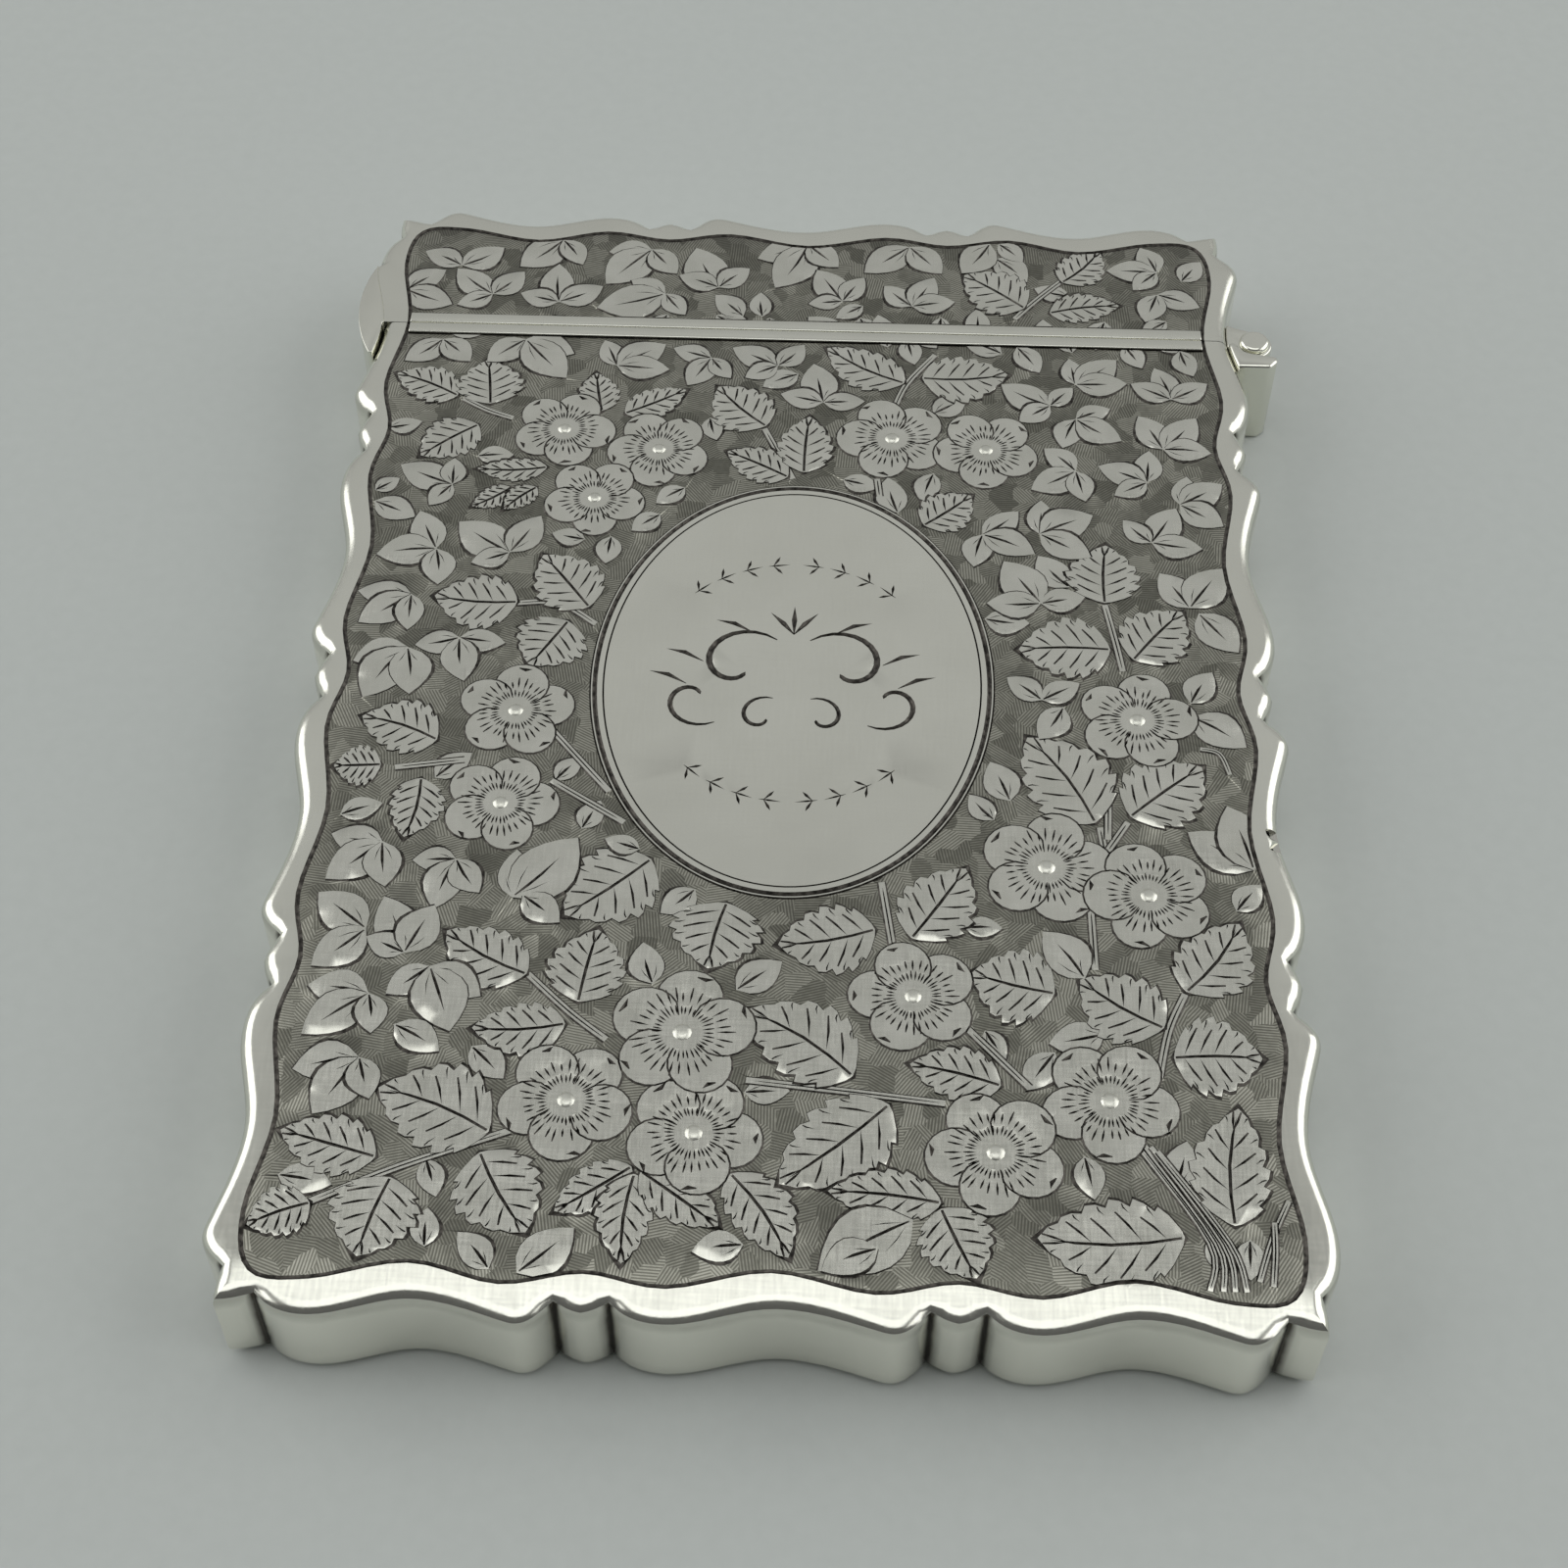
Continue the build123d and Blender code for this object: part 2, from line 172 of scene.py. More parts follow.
# Toothed leaves: base, tip and width
TOOTHED = [
    ((17.3, 39.1), (12.6, 42.8), 4.3), ((20.4, 42.2), (23.5, 46), 3.2), ((19.3, 38.6), (24.8, 39.6), 2.8),
    ((-26.5, 27.8), (-31.4, 30.1), 3.2), ((-23.9, 27), (-24.5, 31.8), 4.4),
    ((-24.6, 24.7), (-28.6, 21.3), 3.6), ((-15.3, 26.5), (-16, 30.6), 2.8), ((-13.5, 26.3), (-9, 29), 2.6),
    ((-2.7, 25.3), (-6.5, 29.4), 4.2), ((-0.9, 20), (-5.5, 22.5), 3), ((0.3, 20.5), (0.6, 26.4), 3.6),
    ((-19, 20.4), (-24.2, 20.1), 2), ((-21.5, 18.2), (-24.2, 16.2), 1.8), ((-19.6, 18.3), (-21.8, 16), 1.8),
    ((7.8, 30.3), (1.8, 34), 3.6), ((9.2, 30.9), (15.8, 31.5), 4.3), ((9.3, 15.4), (12.8, 18.5), 3.4),
    ((-14.8, 6.6), (-18.5, 11.5), 4.4), ((-20, 6.9), (-26, 7.3), 4.4), ((-16.2, 5.2), (-18.6, 1), 4.6),
    ((-24.4, -5.9), (-29.8, -4), 4), ((-28, -8.2), (-31.2, -8.4), 3), ((-25.1, -9.3), (-25.7, -14.3), 3.2),
    ((-9, -15.6), (-14.4, -20.3), 5.2), ((-3.8, -19), (-4.8, -24.2), 5.2), ((-16.5, -25), (-22, -21.8), 4),
    ((-13, -27), (-12.1, -21.4), 4.4), ((-13.7, -28.7), (-19.6, -29.2), 3.4),
    ((-17.8, -36.7), (-25, -33.8), 5.4), ((-24.6, -38.7), (-30.7, -37), 3.6),
    ((-23.5, -40.1), (-24.9, -45.5), 4.8), ((-18.2, -38.2), (-14.9, -43.6), 4.8),
    ((-28.2, -42), (-31.8, -43.6), 3), ((-8.8, -38.9), (-13.3, -42.1), 2.8), ((-8.6, -39.4), (-9, -45.5), 3),
    ((-8.2, -39.2), (-3.3, -42.8), 3), ((-2.7, -39.2), (1, -44.8), 3.4), ((22.3, 8.2), (22.6, 13.8), 4.6),
    ((24.1, 2.9), (27.8, 7.5), 4.4), ((22.5, 3.8), (16, 3.6), 4.8), ((20.8, -11.6), (16.4, -4.4), 5.4),
    ((23.2, -11), (28.3, -6.6), 5), ((8.4, -21.4), (12, -15.7), 4.4), ((6, -20.8), (-0.3, -22.2), 4.6),
    ((17.6, -25.4), (12.3, -24), 5), ((24.5, -27.8), (19.3, -24.3), 4.6), ((26.1, -25), (29.9, -19.6), 4.4),
    ((25, -30), (30.6, -29.9), 5), ((4.7, -32), (-2.2, -27.3), 5), ((14, -32.4), (8.3, -31), 3.4),
    ((7, -34), (0.3, -39.8), 5), ((10.2, -40.8), (3.3, -40.2), 3), ((10.2, -41.2), (12.3, -45.8), 4),
    ((24.9, -42.7), (16, -43), 5.2), ((28, -41.8), (28.8, -33.6), 4.2),
]

# Stems, and the long blades of grass in the lower right corner
STEMS = [
    [(16.5, 37.8), (18.4, 40.2), (21.5, 43.6)], [(-26, 27.5), (-24, 26.3), (-22, 25.5)],
    [(-0.5, 19.8), (-2.8, 25)], [(6.9, 27), (8, 30.2), (10.2, 33.5)], [(5.8, 20), (6, 18.2)],
    [(-20, 6.8), (-17, 6.9), (-14.2, 5)], [(-17, -4.2), (-12.2, -10)], [(-16.2, -9.2), (-11, -12.6)],
    [(-22.3, -7.6), (-27, -8.4)], [(22.3, 8), (22.9, 4.5), (23.3, 1.8)], [(21.4, -14.6), (21.1, -12)],
    [(21.5, -14), (23, -11.5)], [(21.6, -13), (21.9, -7)], [(20.3, -23.5), (20.2, -18.6)],
    [(6.4, -17), (7.3, -23)], [(-16.4, -25), (-13.5, -27.8), (-11, -29.8)],
    [(-16.5, -36.6), (-23, -39.3), (-28.2, -41.9)], [(12, -28.3), (15.8, -32.5)],
    [(24, -31.5), (24.8, -28), (26, -25.2)], [(10.5, -33.8), (5, -33.2), (-2, -32.5)],
]
BLADES = [
    [(26.2, -46.2), (26.4, -43), (22.3, -36.3)], [(27, -46.2), (26.8, -43), (22.8, -36.4)],
    [(27.7, -46.2), (27.2, -43), (23.2, -36.5)], [(28.4, -46.2), (27.6, -43), (23.6, -36.8)],
    [(29.2, -45.5), (30.2, -42.6), (31.4, -40)], [(30, -45.8), (30.3, -43.5), (30.4, -41.5)],
    [(28.3, -5), (29.6, -5.4), (30.2, -7.2)],
]


def unit(v):
    """v at length 1."""
    return v / v.length


def turned(v, angle):
    """v turned counterclockwise by an angle in radians."""
    sine, cosine = math.sin(angle), math.cos(angle)
    return Vector((v.x * cosine - v.y * sine, v.x * sine + v.y * cosine))


def left(v):
    """v turned counterclockwise by a quarter turn."""
    return Vector((-v.y, v.x))


def left_of(line, i):
    """The direction to the left of an open line at one of its points."""
    return left(unit(line[min(i + 1, len(line) - 1)] - line[max(i - 1, 0)]))


def sides_at(points, i):
    """The directions of the two sides that meet at a corner of a closed line."""
    return unit(points[i] - points[i - 1]), unit(points[(i + 1) % len(points)] - points[i])


CURVE_STEPS = 5


def smooth(points, closed=False):
    """A Catmull-Rom curve through the points."""
    points = [Vector(p) for p in points]
    count = len(points)
    out = []
    for i in range(count if closed else count - 1):
        if closed:
            a, b, c, d = (points[(i + k) % count] for k in (-1, 0, 1, 2))
        else:
            a, b, c, d = (points[min(max(i + k, 0), count - 1)] for k in (-1, 0, 1, 2))
        for step in range(CURVE_STEPS):
            t = step / CURVE_STEPS
            square = (a - b * 2.5 + c * 2 - d / 2) * t**2
            cube = (b * 1.5 - a / 2 - c * 1.5 + d / 2) * t**3
            out.append(b + (c - a) * (t / 2) + square + cube)
    if not closed:
        out.append(points[-1])
    return out


def ellipse(centre, half_x, half_y, count):
    """A closed ellipse, counterclockwise."""
    turns = [math.tau * i / count for i in range(count)]
    return [Vector((centre[0] + half_x * math.cos(t), centre[1] + half_y * math.sin(t))) for t in turns]


def signed_area(points):
    """The area inside a closed line, positive where it runs counterclockwise."""
    return sum(a.x * b.y - b.x * a.y for a, b in zip(points, points[1:] + points[:1])) / 2


class Engraving:
    """Closed shapes in the plane, each laid over the ones before it, and cut together into one mesh."""

    def __init__(self):
        self.points = []
        self.lines = []
        self.shapes = []
        self.kinds = []

    def shape(self, kind, points):
        """Lays a closed shape on top."""
        if signed_area(points) < 0:
            points = points[::-1]
        first = len(self.points)
        self.points.extend(points)
        self.shapes.append(list(range(first, len(self.points))))
        self.kinds.append(kind)

    def cut(self, points, width, head=0.15, tail=0.0):
        """A groove along a line: full width in the middle, with its share at the head and at the tail."""
        last = len(points) - 1
        upper, lower = [], []
        for i, p in enumerate(points):
            t = i / last
            ends = head * (1 - t) + tail * t
            half = width / 2 * (ends + (1 - ends) * math.sin(math.pi * t) ** 0.7)
            aside = left_of(points, i) * half
            upper.append(p + aside)
            lower.append(p - aside)
        self.shape("cut", upper[:-1] + [points[-1]] + lower[:-1][::-1])
        self.groove_bottom(points[1:-1] if last > 1 else [(points[0] + points[1]) / 2])

    def groove_bottom(self, points, closed=False):
        """The line along which a groove is deepest."""
        first = len(self.points)
        self.points.extend(points)
        self.lines.extend((i, i + 1) for i in range(first, len(self.points) - 1))
        if closed:
            self.lines.append((len(self.points) - 1, first))

    def ring(self, points, width):
        """A closed groove along a smooth closed line, which leaves what is inside it as it was."""
        outer, inner = offset(points, width / 2), offset(points, -width / 2)
        half = len(points) // 2
        for a, b in ((0, half), (half, len(points))):
            wrap = [i % len(points) for i in range(a, b + 1)]
            self.shape("cut", [outer[i] for i in wrap] + [inner[i] for i in reversed(wrap)])
        self.groove_bottom(points, closed=True)

    def inside_last(self):
        """Cuts everything together. Gives the points, the triangles inside the last shape, and the stations
        round it: each is a point, and the number of the shape's own corner there, if it is one."""
        last = self.shapes[-1]
        sides = list(zip(last, last[1:] + last[:1]))
        points, edges, faces, from_points, from_edges, _ = delaunay_2d_cdt(
            self.points, self.lines + sides, self.shapes, 0, 1e-4
        )
        place = {source: c for c, sources in enumerate(from_points) for source in sources}
        pieces = {}
        for pair, sources in zip(edges, from_edges):
            for source in sources:
                if len(self.lines) <= source < len(self.lines) + len(sides):
                    pieces.setdefault(source - len(self.lines), set()).update(pair)
        stations = []
        for i, (corner, following) in enumerate(sides):
            start, end = place[corner], place[following]
            stations.append((start, i))
            along = self.points[following] - self.points[corner]
            between = [c for c in pieces.get(i, ()) if c not in (start, end)]
            between.sort(key=lambda c: along.dot(points[c]))
            stations.extend((c, None) for c in between)
        loop = [c for c, _ in stations]
        border = {(a, b) for a, b in zip(loop, loop[1:] + loop[:1]) if a != b}
        beside = {(a, b): i for i, f in enumerate(faces) for a, b in zip(f, f[1:] + f[:1])}
        inside = {beside[pair] for pair in border}
        waiting = list(inside)
        while waiting:
            f = faces[waiting.pop()]
            for a, b in zip(f, f[1:] + f[:1]):
                if (a, b) not in border and beside[b, a] not in inside:
                    inside.add(beside[b, a])
                    waiting.append(beside[b, a])
        return points, [faces[i] for i in sorted(inside)], stations

    def topmost(self, centres, shapes):
        """For each centre, the number of the last of these shapes that holds it, or -1."""
        order = np.argsort(centres[:, 0])
        xs, ys = centres[order, 0], centres[order, 1]
        found = np.full(len(centres), -1)
        for number in shapes:
            corners = np.array([self.points[i][:] for i in self.shapes[number]])
            first, last = np.searchsorted(xs, (corners[:, 0].min(), corners[:, 0].max()))
            near = first + np.flatnonzero(
                (ys[first:last] > corners[:, 1].min()) & (ys[first:last] < corners[:, 1].max())
            )
            x, y = xs[near], ys[near]
            inside = np.zeros(len(near), bool)
            for (ax, ay), (bx, by) in zip(corners, np.roll(corners, -1, axis=0)):
                if ay != by:
                    inside ^= ((ay > y) != (by > y)) & (x < ax + (y - ay) * (bx - ax) / (by - ay))
            found[order[near[inside]]] = number
        return found


def offset(points, distance):
    """A closed counterclockwise line moved outwards, mitred at its corners."""
    out = []
    for i, p in enumerate(points):
        before, after = sides_at(points, i)
        middle = -left(before + after)
        out.append(p + middle * (2 * distance / max(middle.length_squared, 0.6)))
    return out


# ---- motifs

LEAF_STEPS = 7
PLAIN_LEAF_FULLNESS = 0.66  # width over length
PLAIN_LEAF_BEND = 0.05  # of the length, at most
THIN_EDGE = 0.084
BOLD_EDGE = 0.25
RIB_WIDTH = 0.22
SIDE_VEIN_WIDTH = 0.07


def leaf_frame(base, tip):
    """A leaf's length and a function from (share of the length, distance aside) to a point."""
    base, tip = Vector(base), Vector(tip)
    along = unit(tip - base)
    length = (tip - base).length
    return length, lambda t, d: base + along * (t * length) + left(along) * d


def plain_leaf(art, base, tip, rng):
    """A smooth pointed leaf with a bold cut along one side and a midrib."""
    length, at = leaf_frame(base, tip)
    half = length * PLAIN_LEAF_FULLNESS / 2 * rng.uniform(0.92, 1.08)
    bend = rng.uniform(-PLAIN_LEAF_BEND, PLAIN_LEAF_BEND) * length
    bold = rng.choice((1, -1))
    steps = [i / LEAF_STEPS for i in range(LEAF_STEPS + 1)]

    def side(sign, edge):
        for t in steps:
            width = half * math.sin(math.pi * t**0.85) ** 0.85
            grow = edge * (0.35 + 0.65 * math.sin(math.pi * t)) if edge else 0.0
            past_tip = grow / length if t == 1 else 0
            yield at(t + past_tip, sign * (width + grow) + bend * math.sin(math.pi * t))

    def outline(edge_bold, edge_thin):
        first = list(side(bold, edge_bold))
        second = list(side(-bold, edge_thin))
        return first + second[::-1][1:-1]

    art.shape("cut", outline(BOLD_EDGE, THIN_EDGE))
    art.shape("leaf", outline(0.0, 0.0))
    rib = [at(t, bend * math.sin(math.pi * t)) for t in (0.04, 0.22, 0.42, rng.uniform(0.6, 0.76))]
    art.cut(rib, RIB_WIDTH, head=0.5)
    for sign in (1, -1):
        places = ((0.1, 0.08), (0.24, 0.3), (rng.uniform(0.3, 0.46), 0.46))
        art.cut([at(along, sign * half * out) for along, out in places], SIDE_VEIN_WIDTH)


TEETH = 6
# Notch, belly and tip of a tooth: the place along it, and the share of the leaf's half width there
TOOTH_SHAPE = ((0.12, 0.9), (0.55, 1.04), (0.98, 1.1))
TOOTHED_FULLNESS = 1.1  # times the widths in the list of leaves
TOOTHED_BEND = 0.06  # of the length, at most
VEINS = 5
VEIN_SPAN = (0.12, 0.68)  # foot of the first vein and the way to the last one's, in lengths of the leaf
VEIN_RISE = 0.17  # how much nearer to the tip a vein's outer end is than its foot
VEIN_WIDTH = 0.17
TICK_WIDTH = 0.1


def toothed_leaf(art, base, tip, width, rng):
    """A leaf with a toothed edge, a midrib and side veins."""
    length, at = leaf_frame(base, tip)
    half = width * TOOTHED_FULLNESS / 2
    bend = rng.uniform(-TOOTHED_BEND, TOOTHED_BEND) * length
    bold = rng.choice((1, -1))

    def edge(t):
        return half * math.sin(math.pi * t**0.8) ** 0.75

    def bow(t):
        return bend * math.sin(math.pi * t)

    def side(sign, grow):
        points = []
        for i in range(TEETH):
            for place, share in TOOTH_SHAPE:
                t = (i + place) / TEETH
                points.append(at(t, sign * (edge(t) * share + grow) + bow(t)))
        return points[:-1]

    def outline(grow_bold, grow_thin):
        ends = max(grow_bold, grow_thin) / length
        return [at(-ends, 0)] + side(bold, grow_bold) + [at(1 + 2 * ends, 0)] + side(-bold, grow_thin)[::-1]

    art.shape("cut", outline(BOLD_EDGE * 0.9, THIN_EDGE))
    art.shape("leaf", outline(0.0, 0.0))
    art.cut([at(t, bow(t)) for t in (0.02, 0.25, 0.5, 0.75, 0.93)], RIB_WIDTH, head=0.8)
    for sign in (1, -1):
        for i in range(VEINS):
            foot = VEIN_SPAN[0] + VEIN_SPAN[1] * i / (VEINS - 1)
            head = foot + VEIN_RISE
            reach = sign * edge(min(head, 0.97)) * rng.uniform(0.66, 0.84)
            vein = ((head, 1.0), ((foot + head) / 2, 0.58), (foot, 0.06))
            art.cut([at(t, reach * out + bow(t)) for t, out in vein], VEIN_WIDTH, head=0.7)
            tick = foot + 0.12
            stroke = ((0.0, 0.98), (0.01, 0.88), (0.05, rng.uniform(0.66, 0.76)))
            art.cut(
                [at(tick - back, sign * edge(tick) * out + bow(tick)) for back, out in stroke],
                TICK_WIDTH, head=0.9,
            )


PETALS = 5
PETAL_STEPS = 14
PETAL_SWEEP = math.radians(125)  # how far round its own middle a petal's edge goes, each way
PETAL_CENTRE = 0.56  # of the flower's radius
PETAL_LONG = 0.44
PETAL_WIDE = 0.44
PETAL_LINE = 0.13
FOLD_TURN = math.radians(14)  # how far off a petal's middle its fold is, at most
FOLD_PLACE = 0.92  # of the flower's radius
FOLD_HALF = (0.09, 0.13)  # half the length of a fold, of the flower's radius
FOLD_SAG = 0.12
FOLD_WIDTH = 0.3
FLOWER_DRAWN = 4.2  # radius of a flower with the sizes below
DISC_RADIUS = 1.12
DISC_STEPS = 20
BOSS_RADIUS = 0.55
BOSS_STEPS = 12
BOSS_RINGS = (("boss_foot", 1.0), ("boss_side", 0.8), ("boss_top", 0.45))
# Rings of fine cuts: how many, from which radius to which, and the width of a cut
FLOWER_CUTS = ((32, 1.95, 2.9, 0.15), (38, 1.16, 1.86, 0.13))


def flower(art, x, y, radius, rng):
    """An open five-petalled flower with rings of fine cuts round a raised boss."""
    centre = Vector((x, y))
    first = rng.uniform(0, math.tau)
    for i in range(PETALS):
        out = turned(Vector((1, 0)), first + math.tau * i / PETALS)
        aside = left(out)
        wide = rng.uniform(0.95, 1.05)

        def petal(grow):
            points = [centre]
            for k in range(PETAL_STEPS + 1):
                angle = PETAL_SWEEP * (2 * k / PETAL_STEPS - 1)
                reach = radius * (PETAL_CENTRE + PETAL_LONG * math.cos(angle)) + grow * math.cos(angle)
                spread = (radius * PETAL_WIDE * wide + grow) * math.sin(angle)
                points.append(centre + out * reach + aside * spread)
            return points

        art.shape("cut", petal(PETAL_LINE))
        art.shape("leaf", petal(0.0))
        fold = centre + turned(out, rng.uniform(-FOLD_TURN, FOLD_TURN)) * radius * FOLD_PLACE
        length = rng.uniform(*FOLD_HALF) * radius
        line = [fold + aside * length, fold - out * FOLD_SAG, fold - aside * length]
        art.cut(line, FOLD_WIDTH, head=0.3)
    scale = radius / FLOWER_DRAWN
    for count, inner, outer, width in FLOWER_CUTS:
        for i in range(count):
            out = turned(Vector((1, 0)), math.tau * (i + rng.uniform(-0.15, 0.15)) / count)
            start, end = inner * scale * rng.uniform(0.97, 1.03), outer * scale * rng.uniform(0.88, 1.06)
            line = [centre + out * end, centre + out * (start + end) / 2, centre + out * start]
            art.cut(line, width, head=0.5)
    disc = DISC_RADIUS * scale + 0.05
    art.shape("leaf", ellipse(centre, disc, disc, DISC_STEPS))
    boss = BOSS_RADIUS * scale
    for kind, share in BOSS_RINGS:
        art.shape(kind, ellipse(centre, boss * share, boss * share, BOSS_STEPS))


STEM_WIDTH = 0.42
BLADE_WIDTH = 0.3
STEM_EDGE = 0.11
MIDDLE_CUT = 0.1


def stem(art, points, width):
    """A stem: a bright strip between two cuts."""
    line = smooth(points)
    for kind, half in (("cut", width / 2 + STEM_EDGE), ("leaf", width / 2)):
        asides = [left_of(line, i) * half for i in range(len(line))]
        upper = [p + aside for p, aside in zip(line, asides)]
        lower = [p - aside for p, aside in zip(line, asides)]
        art.shape(kind, upper + lower[::-1])
    art.cut([line[0].lerp(line[1], 0.5)] + line[1:-1] + [line[-1].lerp(line[-2], 0.5)], MIDDLE_CUT)


def border_line():
    """The closed wavy border line, counterclockwise."""
    stops = []
    for pairs, trough, crest in ((SIDE_PAIRS, SIDE_TROUGH, SIDE_CREST), (END_PAIRS, END_TROUGH, END_CREST)):
        places = [(a + b) / 2 for a, b in zip(pairs, pairs[1:])] + [trough, -trough]
        row = [(place, "trough") for place in places] + [(crest, "crest"), (-crest, "crest")]
        for pair in pairs:
            row += [(pair - PAIR_TO_CREST, "crest"), (pair, "pair"), (pair + PAIR_TO_CREST, "crest")]
        stops.append(sorted(row))
    side_stops, end_stops = stops
    knots = []
    for turn in (1, -1):
        knots += [(turn * SIDE_BORDER[where], turn * y) for y, where in side_stops]
        knots.append((turn * BORDER_CORNER[0], turn * BORDER_CORNER[1]))
        knots += [(-turn * x, turn * END_BORDER[where]) for x, where in end_stops]
        knots.append((-turn * BORDER_CORNER[0], turn * BORDER_CORNER[1]))
    return smooth(knots, closed=True)


SCROLL_SCALE = 1.22
SCROLL_STEPS = 18
SCROLL_WIND = 4.6  # radians from end to end
SCROLL_CLOSING = 0.78  # how much of its radius a scroll loses on the way
# Half of the ornament, on one side of the oval's middle line: place and radius of each scroll, the angle
# where it starts, which way it winds and its width; then the outer ends of the flicks
SCROLLS = (
    (3.1, 1.0, 2.9, 2.4, -1, 0.46),
    (5.6, -1.6, 2.1, -2.2, 1, 0.38),
    (1.7, -2.8, 1.5, 2.0, -1, 0.32),
)
FLICKS = ((7.4, 2.1), (8.3, 0.4), (4.6, 4.4))
FLICK = (2.2, 0.9)  # from its root to its outer end
FLICK_WIDTH = 0.36
# The three strokes in the middle
PLUME_FOOT = 3.4
PLUME_LENGTH = 2.2
PLUME_TURN = 0.7
PLUME_WIDTH = 0.4
SPRIGS = 4  # in half a row
SPRIG_ARC = (10.8, 11.4, 0.6)  # half width and half height of the rows' ellipse, and how far they come in
SPRIG_STEM_WIDTH = 0.16
SPRIG_LEAF_WIDTH = 0.22
SPRIG_ANGLES = (7, 10.5)  # degrees from the middle line to the first sprig, and from one to the next


def scroll(art, centre, size, turn, flip, width):
    """A C-scroll: a groove that winds in from its outer end, with a small curl at the other."""
    points = []
    for i in range(SCROLL_STEPS + 1):
        t = i / SCROLL_STEPS
        out = turned(Vector((1, 0)), turn + flip * (t * SCROLL_WIND))
        points.append(Vector(centre) + out * size * (1 - SCROLL_CLOSING * t))
    art.cut(points, width, head=0.2, tail=0.6)


def medallion(art, ornament):
    """The plain oval with its frame lines, and a symmetrical scroll ornament if it is wanted."""
    art.shape("rim", ellipse(OVAL_CENTRE, *OVAL, OVAL_STEPS))
    for inset, width in OVAL_LINES:
        art.ring(ellipse(OVAL_CENTRE, OVAL[0] - inset, OVAL[1] - inset, OVAL_STEPS), width)
    if not ornament:
        return
    cx, cy = OVAL_CENTRE

    def spot(x, y):
        return Vector((cx + x * SCROLL_SCALE, cy + y * SCROLL_SCALE))

    for side in (1, -1):
        base = 0.0 if side > 0 else math.pi
        for x, y, size, start, flip, width in SCROLLS:
            scroll(art, spot(side * x, y), size * SCROLL_SCALE, base + side * start, side * flip, width)
        for reach, drop in FLICKS:
            tip, root = spot(side * reach, drop), spot(side * (reach - FLICK[0]), drop - FLICK[1])
            art.cut([root, root.lerp(tip, 0.5) + Vector((0, 0.25)), tip], FLICK_WIDTH)
        for row in (1, -1):
            for i in range(SPRIGS):
                angle = math.radians(90 - side * (SPRIG_ANGLES[0] + SPRIG_ANGLES[1] * i))
                x = cx + SPRIG_ARC[0] * math.cos(angle)
                y = cy + row * (SPRIG_ARC[1] * math.sin(angle) - SPRIG_ARC[2])
                out = unit(Vector((x - cx, (y - cy) * 0.9)))
                across = left(out) * side * row
                root = Vector((x, y))
                art.cut([root - across * 0.7, root, root + across * 0.9], SPRIG_STEM_WIDTH)
                for lift in (1, -1):
                    tip = root + across * 0.25 + out * lift * 0.85
                    line = [root - across * 0.35, root.lerp(tip, 0.6) - across * 0.12, tip]
                    art.cut(line, SPRIG_LEAF_WIDTH)
    for k in (-1, 0, 1):
        foot = spot(0.0, PLUME_FOOT)
        tip = foot + turned(Vector((0, 1)), k * PLUME_TURN) * PLUME_LENGTH * SCROLL_SCALE
        art.cut([foot, foot.lerp(tip, 0.5) + Vector((k * 0.1, 0)), tip], PLUME_WIDTH)


FILLER_SEED = 58
FILLER_TRIES = 2500
FILLER_REACH = (30.0, 45.0)  # largest |x| and |y| of a filler leaf's middle
FILLER_HALF = (1.2, 1.9)  # half the length of a filler leaf
FILLER_RADIUS = 0.9
OVAL_CLEAR = 1.2  # from the oval to the middle of a filler leaf, at least
FILLER_CLEAR = -0.65  # negative: a filler leaf may lie partly under a larger one


def filler_leaves(art):
    """Small leaves in the gaps of the field, partly behind the larger ones."""
    rng = random.Random(FILLER_SEED)
    taken = list(FLOWERS)
    leaves = [(base, tip, width / 2) for base, tip, width in TOOTHED]
    for base, tips in SPRAYS:
        leaves += [(base, tip, math.dist(base, tip) * PLAIN_LEAF_FULLNESS / 2) for tip in tips]
    for base, tip, radius in leaves:
        for share in (0.2, 0.5, 0.8):
            spot = Vector(base).lerp(Vector(tip), share)
            taken.append((spot.x, spot.y, radius))
    for _ in range(FILLER_TRIES):
        middle = Vector([rng.uniform(-reach, reach) for reach in FILLER_REACH])
        along = turned(Vector((1, 0)), rng.uniform(0, math.tau)) * rng.uniform(*FILLER_HALF)
        spots = [middle + along * share for share in (-0.7, 0.0, 0.7)]
        from_oval = Vector(OVAL_CENTRE) - middle
        oval = Vector((from_oval.x / (OVAL[0] + OVAL_CLEAR), from_oval.y / (OVAL[1] + OVAL_CLEAR)))
        places = np.array(taken)
        gaps = [np.hypot(places[:, 0] - s.x, places[:, 1] - s.y) - places[:, 2] for s in spots]
        if oval.length > 1 and np.min(gaps) > FILLER_CLEAR + FILLER_RADIUS:
            plain_leaf(art, middle - along, middle + along, rng)
            taken += [(s.x, s.y, FILLER_RADIUS) for s in spots]


FIELD_SEED = 4107


def engraved_field(ornament):
    """Everything engraved on one face of the case."""
    rng = random.Random(FIELD_SEED)
    art = Engraving()
    border = border_line()
    art.shape("ground", border)
    filler_leaves(art)
    for points in STEMS:
        stem(art, points, STEM_WIDTH)
    for points in BLADES:
        stem(art, points, BLADE_WIDTH)
    for base, tip, width in TOOTHED:
        toothed_leaf(art, base, tip, width, rng)
    for base, tips in SPRAYS:
        for tip in tips:
            plain_leaf(art, base, tip, rng)
    medallion(art, ornament)
    for x, y, radius in FLOWERS:
        flower(art, x, y, radius, rng)
    return art, border


# ---------------------------------------------------------------- meshes of the plates

